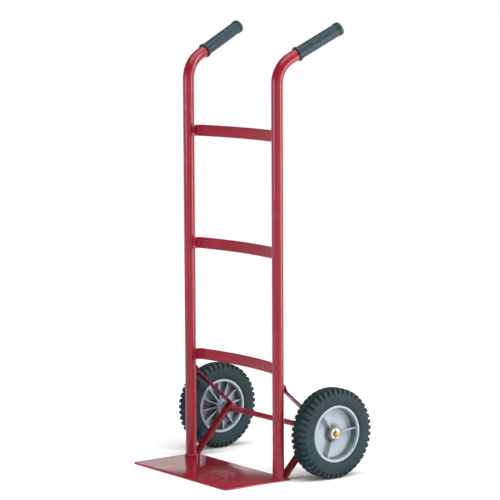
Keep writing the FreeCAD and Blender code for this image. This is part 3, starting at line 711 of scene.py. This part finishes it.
def bead_tree() -> Growth:
    """A tree that lays a rippled weld bead along each line of a mesh."""
    tree = Growth("weld_bead", {"Radius": "NodeSocketFloat", "Ripple": "NodeSocketFloat",
                                "Depth": "NodeSocketFloat", "Material": "NodeSocketMaterial"})
    ripple = tree.given("Ripple")
    line = tree.node("GeometryNodeMeshToCurve", {}, {"Mesh": tree.given("Geometry")})
    fine = tree.node("GeometryNodeResampleCurve", {"mode": "LENGTH"}, {"Curve": line, "Length": ripple / 6})
    along = tree.node("GeometryNodeSplineParameter", output="Length")
    share = tree.node("GeometryNodeSplineParameter", output="Factor")
    wave = (along / ripple * (2 * pi)).sin() * tree.given("Depth") + 1
    ends = 0.55 + 0.45 * ((1 - abs(share * 2 - 1)) * 8).both(1)
    radius = tree.given("Radius") * wave * ends
    sized = tree.node("GeometryNodeSetCurveRadius", {}, {"Curve": fine, "Radius": radius})
    ring = tree.node("GeometryNodeCurvePrimitiveCircle", {}, {"Resolution": 12, "Radius": 1.0})
    inputs = {"Curve": sized, "Profile Curve": ring, "Fill Caps": True}
    skin = tree.nodes.new("GeometryNodeCurveToMesh")
    if "Scale" in skin.inputs:
        inputs["Scale"] = radius
    for key, value in inputs.items():
        tree.put(skin.inputs[key], value)
    tree.result(tree.node("GeometryNodeSetShadeSmooth", {}, {"Geometry": Wire(tree, skin.outputs[0])}))
    return tree


# ---- the truck's pieces


@dataclass(frozen=True)
class Handle:
    """The bent line that each upright's tube follows, from the toe plate into the grip."""

    side: Side
    tube_radius: float = 12.7 * MM
    tube_wall: float = 1.65 * MM
    bend_height: float = 864 * MM
    bend_radius: float = 62 * MM
    turn: float = radians(63)
    splay: float = radians(7.5)
    grip_start: float = 17 * MM
    grip_length: float = 122 * MM
    grip_cap: float = 3 * MM
    straight_steps: int = 12
    bend_steps: int = 28

    @property
    def foot(self) -> Vector:
        """The middle of the tube's lower end, on the toe plate."""
        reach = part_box("top_cross_strap")[1].x + self.tube_radius
        return Vector((self.side.value * reach, 0.0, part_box("toe_plate")[1].z))

    @property
    def back(self) -> Vector:
        """The level direction that the handle bends towards."""
        return Vector((self.side.value * sin(self.splay), cos(self.splay), 0.0))

    @property
    def axis(self) -> Vector:
        """The direction of the grip."""
        return self.back * sin(self.turn) + Vector((0, 0, cos(self.turn)))

    @property
    def bend_end(self) -> Vector:
        """The middle of the tube where the bend ends."""
        start = Vector((self.foot.x, 0.0, self.bend_height))
        rise = Vector((0, 0, sin(self.turn)))
        return start + (self.back * (1 - cos(self.turn)) + rise) * self.bend_radius

    @property
    def grip_foot(self) -> Vector:
        """The middle of the grip's open end."""
        return self.bend_end + self.axis * self.grip_start

    def line(self) -> list[tuple[Vector, Vector]]:
        """Places along the tube's middle, each with the direction that the tube runs in there."""
        stops = [(self.foot, UP)]
        for i in range(1, self.straight_steps + 1):
            height = self.foot.z + (self.bend_height - self.foot.z) * i / self.straight_steps
            stops.append((Vector((self.foot.x, 0.0, height)), UP))
        start = stops[-1][0]
        for i in range(1, self.bend_steps + 1):
            turn = self.turn * i / self.bend_steps
            place = start + (self.back * (1 - cos(turn)) + UP * sin(turn)) * self.bend_radius
            stops.append((place, self.back * sin(turn) + UP * cos(turn)))
        reach = self.grip_start + self.grip_length - self.grip_cap
        stops += [(self.bend_end + self.axis * reach * share, self.axis) for share in (0.3, 0.6, 1.0)]
        return stops


@dataclass
class Upright:
    """One bent tube with its vinyl grip."""

    side: Side
    paint: Finish
    vinyl: Finish
    around: int = 64
    flange_wall: float = 3.8 * MM
    flange_width: float = 5 * MM
    sleeve_wall: float = 1.4 * MM
    bead_wall: float = 2.3 * MM
    bead_width: float = 9 * MM
    edge: float = 1.2 * MM
    crests: int = 6
    crest_depth: float = 0.12 * MM
    plain: float = 4 * MM

    def __post_init__(self) -> None:
        """Lay out the handle's line."""
        self.handle = Handle(self.side)

    def tube(self) -> Object:
        """The tube, with its wall."""
        handle = self.handle
        across = handle.back.cross(UP)
        outer, inner = [], []
        for place, along in handle.line():
            second = along.cross(across)
            for rings, radius in ((outer, handle.tube_radius), (inner, handle.tube_radius - handle.tube_wall)):
                rings.append(ring_points(place, across, second, radius, self.around))
        return swept(f"{self.side.label}_tube", outer + inner[::-1], loop=True)

    def grip_outline(self) -> list[Plane]:
        """Half the grip's section, as radius and distance along it, from the open end round to the bore."""
        tube = self.handle.tube_radius
        length = self.handle.grip_length
        flange, sleeve, bead = tube + self.flange_wall, tube + self.sleeve_wall, tube + self.bead_wall
        edge, steps = self.edge, 5
        line = [(tube, 0.0), (tube + 0.4 * MM, 0.0)]
        line += arc((flange - edge, edge), edge, -90, 0, steps)
        line += arc((flange - edge, self.flange_width - edge), edge, 0, 90, steps)
        line += arc((sleeve + edge, self.flange_width + edge), edge, 270, 180, steps)
        first = self.flange_width + self.plain
        span = length - self.bead_width - self.plain - first
        for i in range(self.crests * 6 + 1):
            share = i / (self.crests * 6)
            wave = 0.5 - 0.5 * cos(share * self.crests * 2 * pi)
            line.append((sleeve - self.crest_depth * wave, first + span * share))
        line += arc((sleeve + edge, length - self.bead_width - edge), edge, 180, 90, steps)
        line += arc((bead - edge, length - self.bead_width + edge), edge, -90, 0, steps)
        line += arc((bead - 2 * edge, length - 2 * edge), 2 * edge, 0, 90, steps)
        line += [(bead * 0.62, length), (bead * 0.58, length - 0.5 * MM), (0.0, length - 0.5 * MM)]
        line += [(0.0, length - self.handle.grip_cap), (tube, length - self.handle.grip_cap)]
        return line

    def grip(self) -> Object:
        """The closed vinyl sleeve with its hand stop and end bead."""
        foot, along = self.handle.grip_foot, self.handle.axis
        across = self.handle.back.cross(UP)
        second = along.cross(across)
        outline = self.grip_outline()
        rings = []
        for i in range(self.around):
            turn = 2 * pi * i / self.around
            out = across * cos(turn) + second * sin(turn)
            rings.append([foot + out * radius + along * place for radius, place in outline])
        return swept(f"{self.side.label}_vinyl_grip", rings, loop=True)

    def build(self) -> None:
        """Make and dress both pieces."""
        label = self.side.label
        finished(self.tube(), self.paint, FRAME, f"{label}_upright_tube")
        finished(self.grip(), self.vinyl, FRAME, f"{label}_grip")


@dataclass
class CrossStrap:
    """A flat bar bowed backwards, with a short leg along each tube."""

    level: str
    paint: Finish
    thickness: float = 3 * MM
    leg_back: float = 17 * MM
    bow: float = 18 * MM
    bend: float = 5.5 * MM
    edge: float = 0.9 * MM
    leg_steps: int = 4
    bend_steps: int = 8
    bow_steps: int = 40

    @property
    def node(self) -> str:
        """The CAD node that this strap stands for."""
        return f"{self.level}_cross_strap"

    def line(self) -> list[tuple[Vector, Vector]]:
        """Places along the middle of the bar, from left to right, with the way out of its back face."""
        low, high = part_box(self.node)
        half = self.thickness / 2
        reach = high.x - half
        radius = (high.x ** 2 + self.bow ** 2) / (2 * self.bow)
        centre = self.leg_back + self.bow - radius
        middle_radius = radius - half
        bend_x = reach - self.bend
        gap = middle_radius - self.bend
        bend_y = centre + sqrt(gap ** 2 - bend_x ** 2)
        tip = math.atan2(bend_y - centre, bend_x)
        right = [(Vector((reach, low.y + (bend_y - low.y) * i / self.leg_steps)), Vector((1.0, 0.0)))
                 for i in range(self.leg_steps)]
        for i in range(self.bend_steps + 1):
            turn = tip * i / self.bend_steps
            out = Vector((cos(turn), sin(turn)))
            right.append((Vector((bend_x, bend_y)) + out * self.bend, out))
        for i in range(1, self.bow_steps + 1):
            turn = tip + (pi / 2 - tip) * i / self.bow_steps
            out = Vector((cos(turn), sin(turn)))
            right.append((Vector((0.0, centre)) + out * middle_radius, out))
        left = [(Vector((-place.x, place.y)), Vector((-out.x, out.y))) for place, out in right[:-1]]
        return left + right[::-1]

    def build(self) -> None:
        """Sweep the bar's rounded section along its line."""
        low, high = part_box(self.node)
        height = (high.z - low.z) / 2 - self.edge
        half = self.thickness / 2 - self.edge
        section = []
        for i, (x, z) in enumerate(((half, height), (-half, height), (-half, -height), (half, -height))):
            section += arc((x, z), self.edge, 90 * i, 90 * i + 90, 4)
        rings = []
        for place, out in self.line():
            rings.append([(place.x + out.x * x, place.y + out.y * x, (low.z + high.z) / 2 + z)
                          for x, z in section])
        finished(swept(f"{self.level}_strap", rings, loop=False), self.paint, FRAME, self.node)


@dataclass
class PressedPieces:
    """Plate, brackets, axle, washers and bushes: softened copies of their CAD nodes."""

    plate_paint: Finish
    # the brackets' enamel: the crimson enamel darkened as painted shade
    paint: Finish
    axle: Finish
    washer: Finish
    bush: Finish
    plate_edge: float = 0.9 * MM
    sheet_edge: float = 0.55 * MM
    small_edge: float = 0.25 * MM

    def soft_copy(self, node: str, name: str, edge: float, finish: Finish, body: str) -> None:
        """Copy a node, round its edges and dress it."""
        finished(soften(copy_node(node, name), edge), finish, body, node)

    def build(self) -> None:
        """Make and dress every piece."""
        self.soft_copy("toe_plate", "toe_plate_sheet", self.plate_edge, self.plate_paint, FRAME)
        self.soft_copy("axle", "axle_bar", self.small_edge, self.axle, FRAME)
        for side in Side:
            label = side.label
            for part, name in (("upper_bracket", "bracket_strip"), ("lower_bracket", "bracket_channel")):
                self.soft_copy(f"{label}_{part}", f"{label}_{name}", self.sheet_edge, self.paint, FRAME)
            for end in ("inner", "outer"):
                self.soft_copy(f"{label}_{end}_washer", f"{label}_{end}_axle_washer", self.small_edge,
                               self.washer, FRAME)
                self.soft_copy(f"{label}_{end}_bush", f"{label}_{end}_hub_bush", self.small_edge, self.bush,
                               side.wheel)


@dataclass
class CotterPin:
    """A split pin of folded half-round wire: an eye on top, two shanks through the axle, two bent legs."""

    side: Side
    steel: Finish
    wire: float = 0.66 * MM
    apart: float = 0.7 * MM
    shank: float = 9.2 * MM
    eye: float = 2.9 * MM
    leg: float = 7.2 * MM
    spread: float = radians(38)
    around: int = 14
    steps: int = 6
    bend: float = 3.0 * MM

    def line(self) -> list[Plane]:
        """The wire's middle in the plane of the pin, as distance back and height over the axle."""
        gap = self.apart
        half = []
        tip = (gap + self.leg * sin(self.spread), -self.shank - self.leg * cos(self.spread))
        steps, bend = self.steps, self.bend
        half += [tip, (gap + (tip[0] - gap) * 0.5, -self.shank + (tip[1] + self.shank) * 0.5)]
        for i in range(steps + 1):
            turn = self.spread * (1 - i / steps)
            half.append((gap + bend * (1 - cos(turn)), -self.shank + bend * 0.5 - bend * sin(turn)))
        half += [(gap, -self.shank * 0.4), (gap, 0.0), (gap, self.shank * 0.5), (gap, self.shank - 0.3 * MM)]
        start = math.asin(gap / self.eye)
        centre = self.shank + self.eye * cos(start)
        for i in range(1, 2 * steps + 1):
            turn = start + (pi - start) * i / (2 * steps)
            half.append((self.eye * sin(turn), centre - self.eye * cos(turn)))
        return half + [(-back, up) for back, up in half[-2::-1]]

    def build(self) -> None:
        """Sweep the wire and dress the pin."""
        node = f"{self.side.label}_cotter_pin"
        x = middle(node).x
        axle = middle("axle")
        line = [Vector((x, axle.y + back, axle.z + up)) for back, up in self.line()]
        rings = []
        for i, place in enumerate(line):
            along = (line[min(i + 1, len(line) - 1)] - line[max(i - 1, 0)]).normalized()
            rings.append(ring_points(place, ACROSS, along.cross(ACROSS), self.wire, self.around))
        pin = swept(f"{self.side.label}_split_pin", rings, loop=False, sharp=60.0)
        finished(pin, self.steel, FRAME, node)


@dataclass
class Tread:
    """The section of a tyre and the pattern of its tread; the plain numbers of the section are mm."""

    lugs: int = 44
    half_width: float = 20.0
    lean_power: float = 1.3
    lean_from: float = 66.0
    crown_to: float = 13.3
    crown_step: Plane = (-0.35, -0.94)
    shoulder_from: float = 88.5
    shoulder_reach: float = 0.55
    radius: float = 100 * MM
    groove_depth: float = 4.0 * MM
    skew: float = 0.30
    weld: float = 0.02 * MM
    ridges: tuple[Point, ...] = ((70.5, 0.9, 0.5), (84.6, 0.5, 0.35))
    sides: tuple[Plane, ...] = ((0.12, 1.0), (0.155, 0.92), (0.205, 0.12), (0.24, 0.0))

    def groove(self, share: float) -> float:
        """How deep the cross groove is at a share of the pitch, from 0 on a lug to 1 in the groove."""
        gap = abs((share + 0.5) % 1.0 - 0.5)
        if gap <= self.sides[0][0]:
            return 1.0
        for (a, high), (b, low) in zip(self.sides, self.sides[1:]):
            if gap <= b:
                return high + (low - high) * (gap - a) / (b - a)
        return 0.0

    def stations(self) -> list[float]:
        """Shares of the pitch where the pattern on either side changes."""
        marks = {0.0, 1.0, 0.5}
        for centre in (0.0, 0.5, 1.0):
            marks |= {round(centre + sign * gap, 4) for gap, _ in self.sides for sign in (-1, 1)}
        return sorted(mark for mark in marks if 0.0 <= mark <= 1.0)

    def outside(self) -> list[Point]:
        """Half the outer section, from the crown to the bead: X, radius, and how far grooves reach in."""
        top = self.radius / MM
        crown = [(0.0, top - 2.2, 0.0), (1.1, top - 2.2, 0.0), (1.35, top - 1.9, 0.0), (1.6, top - 0.25, 0.0),
                 (1.9, top, 0.0), (4.6, top, 0.0), (5.0, top - 0.25, 0.1), (5.3, top - 1.9, 0.3),
                 (5.6, top - 2.2, 0.35), (6.7, top - 2.2, 0.35), (7.0, top - 1.9, 0.5), (7.3, top - 0.4, 0.9),
                 (7.6, top - 0.15, 1.0), (10.5, top - 0.25, 1.0), (13.2, top - 0.5, 1.0)]
        shoulder = [(x, radius, 1.0) for x, radius in arc((11.6, 90.7), 9.0, 70, 8, 8)]
        wall = []
        for x, radius in arc((-38.1, 78.2), 60.0, 11.2, -12.3, 22):
            ridge = sum(rise * math.exp(-((radius - at) / wide) ** 2) for at, wide, rise in self.ridges)
            wall.append((x + ridge, radius, self.shoulder_reach if radius > self.shoulder_from else 0.0))
        bead = [(19.9, 64.3, 0.0), (18.6, 63.5, 0.0), (17.0, 63.5, 0.0), (17.0, 60.5, 0.0)]
        return crown + shoulder + wall + bead

    def inside(self) -> list[Plane]:
        """Half the hollow's section, from the bead to the crown."""
        return [(8.0, 60.5), (8.0, 63.4), (12.5, 69.4), (12.5, 82.0), (5.5, 89.0)]

    def inward(self, line: Sequence[Point], i: int) -> Vector:
        """The direction into the rubber at a point of the outer section."""
        a, b = line[max(i - 1, 0)], line[min(i + 1, len(line) - 1)]
        along = Vector((b[0] - a[0], b[1] - a[1]))
        normal = Vector((along.y, -along.x)).normalized() if along.length else Vector((0.0, -1.0))
        return normal if normal.y < 0 or normal.x < 0 else -normal

    def sector(self, name: str) -> Object:
        """One pitch of the tyre about the X axis at the origin, open at both ends."""
        outer = self.outside()
        shell = Shell()
        rings = []
        pitch = 2 * pi / self.lugs
        for share in self.stations():
            ring = []
            for sign, offset in ((1, 0.5), (-1, 0.0)):
                depth = self.groove(share - offset)
                half = []
                for i, (x, radius, reach) in enumerate(outer):
                    if reach > 0:
                        step = Vector(self.crown_step) if x < self.crown_to else self.inward(outer, i)
                        x, radius = Vector((x, radius)) + step * (self.groove_depth / MM * reach * depth)
                    lean = self.skew * min(abs(x) / self.half_width, 1.0) ** self.lean_power
                    half.append((sign * x, radius, share + (lean if radius > self.lean_from else 0.0)))
                half += [(sign * x, radius, share) for x, radius in self.inside()]
                ring += half if sign > 0 else half[::-1]
            rings.append([(x * MM, radius * MM * cos(where * pitch), radius * MM * sin(where * pitch))
                          for x, radius, where in ring])
        shell.grid(rings, loop=False, cap=False)
        return shell.raw(name)


@dataclass
class Wheel:
    """One wheel: its block-treaded tyre and its moulded centre."""

    side: Side
    rubber: type[Rubber]
    plastic: type[Moulding]
    ring: Growth
    tread: Tread = field(default_factory=Tread)
    moulding_edge: float = 0.7 * MM
    moulding_angle: float = 25.0
    tyre_sharp: float = 32.0

    def build(self) -> None:
        """Grow the tyre from one pitch of its tread, and soften the centre's moulding."""
        label = self.side.label
        hub = Vector((middle(f"{label}_tyre").x, middle("axle").y, middle("axle").z))
        rubber = self.rubber(f"{label}_tyre_rubber", tuple(hub))
        plastic = self.plastic(f"{label}_moulded_plastic", tuple(hub))
        tyre = self.tread.sector(f"{label}_block_tyre")
        self.ring.grow(tyre, Count=self.tread.lugs, Centre=hub, Weld=self.tread.weld,
                       Material=rubber.material())
        clean(tyre.data, self.tread.weld)
        smooth(tyre.data, self.tyre_sharp)
        finished(tyre, rubber, self.side.wheel, f"{label}_tyre")
        centre = copy_node(f"{label}_wheel_centre", f"{label}_moulded_centre")
        soften(centre, self.moulding_edge, self.moulding_angle, 3)
        finished(centre, plastic, self.side.wheel, f"{label}_wheel_centre")


@dataclass
class WeldBeads:
    """Rippled weld beads on every joint of the frame."""

    paint: Finish
    bead: Growth
    handle: Handle
    radius: float = 1.9 * MM
    ripple: float = 1.5 * MM
    depth: float = 0.10
    sharp: float = 60.0
    strap_out: float = 0.9 * MM
    strap_trim: float = 2.5 * MM
    spread: float = 0.5
    bracket_in: float = 1.0 * MM
    corner_in: float = 5.0 * MM
    corner_trim: float = 4.0 * MM
    foot_out: float = 0.6 * MM
    axle_out: float = 0.5 * MM
    foot_turns: Plane = (30.0, -240.0)
    strip_ends: Plane = (9 * MM, 2 * MM)
    channel_ends: Plane = (1 * MM, 6 * MM)

    def lay(self, name: str, lines: Sequence[Sequence[Vector]], node: str) -> None:
        """Lay beads along lines, as one piece.

        Args:
            name: The piece's name.
            lines: The lines, each a list of points.
            node: The CAD node that the piece stands for.
        """
        mesh = bpy.data.meshes.new(name)
        points = [point for line in lines for point in line]
        edges, start = [], 0
        for line in lines:
            edges += [(start + i, start + i + 1) for i in range(len(line) - 1)]
            start += len(line)
        mesh.from_pydata(points, edges, [])
        obj = placed(mesh)
        self.bead.grow(obj, Radius=self.radius, Ripple=self.ripple, Depth=self.depth,
                       Material=self.paint.material())
        clean(obj.data)
        smooth(obj.data, self.sharp)
        finished(obj, self.paint, FRAME, node)

    def build(self) -> None:
        """Lay every group of beads."""
        tube_x, tube = self.handle.foot.x, self.handle.tube_radius
        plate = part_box("toe_plate")[1].z
        strap_lines, bracket_lines, ring_lines, axle_lines = [], [], [], []
        strap_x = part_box("top_cross_strap")[1].x
        for side in Side:
            sign, label = side.value, side.label
            for level in ("lower", "middle", "top"):
                low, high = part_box(f"{level}_cross_strap")
                strap_lines.append([Vector((sign * (strap_x + self.strap_out), tube * self.spread, z))
                                    for z in (low.z + self.strap_trim, high.z - self.strap_trim)])
            strip_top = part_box(f"{label}_upper_bracket")[1].z
            for way in (-1, 1):
                x, y = sign * tube_x + way * tube * self.spread, tube - self.bracket_in
                bracket_lines.append([Vector((x, y, strip_top - end)) for end in self.strip_ends])
                bracket_lines.append([Vector((x, y, plate + end)) for end in self.channel_ends])
            low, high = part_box(f"{label}_lower_bracket")
            corner_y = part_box(f"{label}_upper_bracket")[1].y - self.corner_in
            corner = Vector((sign * tube_x, corner_y, high.z + 0.2 * MM))
            reach = Vector(((high.x - low.x) / 2 - self.corner_trim, 0, 0))
            bracket_lines.append([corner - reach, corner + reach])
            foot = Vector((sign * tube_x, 0.0, plate + self.foot_out))
            turns = [radians(self.foot_turns[0] + self.foot_turns[1] * i / 40) for i in range(41)]
            ring_lines.append([foot + Vector((cos(turn), sin(turn), 0)) * (tube + self.foot_out)
                               for turn in turns])
            axle = middle("axle")
            face = Vector((min(abs(low.x), abs(high.x)) * sign - sign * 0.4 * MM, axle.y, axle.z))
            radius = (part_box("axle")[1].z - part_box("axle")[0].z) / 2 + self.axle_out
            axle_lines.append(ring_points(face, BACK, UP, radius, 36))
        self.lay("strap_weld_beads", strap_lines, "strap_welds")
        self.lay("bracket_weld_beads", bracket_lines, "bracket_welds")
        self.lay("toe_plate_weld_beads", ring_lines, "toe_plate_welds")
        self.lay("axle_weld_beads", axle_lines, "axle_welds")


# ---- the studio


@dataclass(frozen=True)
class Softbox:
    """A rectangular area light that faces a point, placed by its direction from the camera's own."""

    name: str
    beside: float
    height: float
    distance: float
    width: float
    tall: float
    watts: float

    def build(self, aim: Vector, azimuth: float) -> None:
        """Put the light up.

        Args:
            aim: The point that it faces.
            azimuth: The camera's azimuth in degrees.
        """
        turn = radians(azimuth + self.beside)
        level = Vector((sin(turn), -cos(turn), 0.0)) * self.distance
        light = bpy.data.lights.new(self.name, "AREA")
        light.shape = "RECTANGLE"
        light.size = self.width
        light.size_y = self.tall
        light.energy = self.watts
        obj = bpy.data.objects.new(self.name, light)
        obj.location = Vector((aim.x, aim.y, self.height)) + level
        obj.rotation_euler = (obj.location - aim).to_track_quat("Z", "Y").to_euler()
        bpy.context.scene.collection.objects.link(obj)


@dataclass(frozen=True)
class Studio:
    """Pale floor, soft light and the camera."""

    azimuth: float = 53.451
    elevation: float = 6.71
    roll: float = -0.298
    distance: float = 5.0497
    aim: Point = (0.06517, 0.0, 0.49786)
    lens: float = 165.6
    floor_radius: float = 600.0
    floor_sides: int = 64
    floor_drop: float = 0.2 * MM
    floor_colour: Colour = (0.90, 0.90, 0.90)
    sky: float = 0.10
    glow: float = 0.75
    glow_top: float = 0.28
    sun: float = 3.35
    sun_spread: float = radians(70)
    sun_tilt: float = radians(12)
    sun_beside: float = 20.0
    far: float = 2000.0
    boxes: tuple[Softbox, ...] = (
        Softbox("right_box", 76.0, 0.75, 1.9, 0.34, 1.7, 30.0),
        Softbox("left_box", -62.0, 0.85, 2.2, 0.26, 0.9, 14.0),
        Softbox("key_box", 66.0, 2.0, 2.2, 0.9, 0.9, 14.0),
    )

    def camera(self) -> None:
        """Set the camera up."""
        a, e, roll = (radians(value) for value in (self.azimuth, self.elevation, self.roll))
        back = Vector((sin(a) * cos(e), -cos(a) * cos(e), sin(e)))
        right = Vector((cos(a), sin(a), 0.0))
        up = back.cross(right)
        right, up = (right * cos(roll) + up * sin(roll), up * cos(roll) - right * sin(roll))
        data = bpy.data.cameras.new("camera")
        data.lens = self.lens
        data.sensor_width = 36.0
        data.clip_end = self.far
        obj = bpy.data.objects.new("camera", data)
        turn = Matrix((right, up, back)).transposed().to_4x4()
        obj.matrix_world = Matrix.Translation(Vector(self.aim) + back * self.distance) @ turn
        bpy.context.scene.collection.objects.link(obj)
        bpy.context.scene.camera = obj

    def floor(self) -> None:
        """Lay the floor."""
        tree = Tree("pale_floor")
        soft = tree.noise(3.0, 3.0)
        tree.set(base_color=self.floor_colour, roughness=0.75 + 0.1 * soft, specular_ior_level=0.2)
        shell = Shell()
        shell.add(ring_points(UP * -self.floor_drop, ACROSS, BACK,
                              self.floor_radius, self.floor_sides), [tuple(range(self.floor_sides))])
        floor = shell.object("studio_floor")
        floor.data.materials.append(tree.material)

    def light(self) -> None:
        """Put the lights up."""
        world = bpy.data.worlds.new("studio")
        world.use_nodes = True
        graph = Graph(world.node_tree)
        way = graph.node("ShaderNodeTexCoord", output="Generated")
        height = graph.node("ShaderNodeSeparateXYZ", {}, {"Vector": way}, "Z")
        strength = height.over(self.glow_top, 0.0) * self.glow + self.sky
        glow = graph.node("ShaderNodeBackground", {}, {"Strength": strength, "Color": (1.0, 1.0, 1.0)})
        graph.links.new(glow.socket, graph.nodes.new("ShaderNodeOutputWorld").inputs["Surface"])
        bpy.context.scene.world = world
        sun = bpy.data.lights.new("sun", "SUN")
        sun.energy = self.sun
        sun.angle = self.sun_spread
        obj = bpy.data.objects.new("sun", sun)
        obj.rotation_euler = (self.sun_tilt, 0.0, radians(self.azimuth + self.sun_beside))
        bpy.context.scene.collection.objects.link(obj)
        for box in self.boxes:
            box.build(Vector(self.aim), self.azimuth)

    def build(self) -> None:
        """Set the whole studio up."""
        self.camera()
        self.floor()
        self.light()
        bpy.context.scene.view_settings.view_transform = "Standard"


def main() -> None:
    """Build the truck piece by piece, then the studio."""
    logging.basicConfig(level=logging.INFO, format="%(name)s: %(message)s")
    paint = Enamel("crimson_enamel")
    plate_paint = Enamel("toe_plate_enamel", colour=(0.26, 0.008, 0.024), roughness=0.18, scuffs=0.8,
                         gloss=0.5, coat=0.4)
    strap_paint = Enamel("strap_enamel", gloss=0.16, coat=0.1)
    # The brackets get a darker copy of the crimson enamel: painted shade on the brackets.
    shaded_bracket_paint = Enamel("bracket_enamel", colour=(0.17, 0.009, 0.018), deep=(0.12, 0.006, 0.013),
                           gloss=0.16, coat=0.08)
    bracket_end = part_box("right_lower_bracket")[1].x
    axle = ZincAxle("axle_finish", bracket_end + 1.5 * MM)
    vinyl = Vinyl("teal_vinyl")
    washer = PlatedSteel("washer_zinc", "zinc_washer", (0.80, 0.77, 0.66), (0.55, 0.52, 0.42), 0.42, 0.75)
    bush = PlatedSteel("bush_steel", "bush_steel", (0.62, 0.60, 0.52), (0.33, 0.31, 0.26))
    pin = PlatedSteel("pin_steel", "pin_steel", (0.55, 0.50, 0.34), (0.28, 0.26, 0.18))
    for side in Side:
        Upright(side, paint, vinyl).build()
        CotterPin(side, pin).build()
    for level in ("lower", "middle", "top"):
        CrossStrap(level, strap_paint).build()
    PressedPieces(plate_paint, shaded_bracket_paint, axle, washer, bush).build()
    ring = ring_tree()
    for side in Side:
        Wheel(side, Rubber, Moulding, ring).build()
    WeldBeads(paint, bead_tree(), Handle(Side.RIGHT)).build()
    Studio().build()


if __name__ == "__main__":
    main()
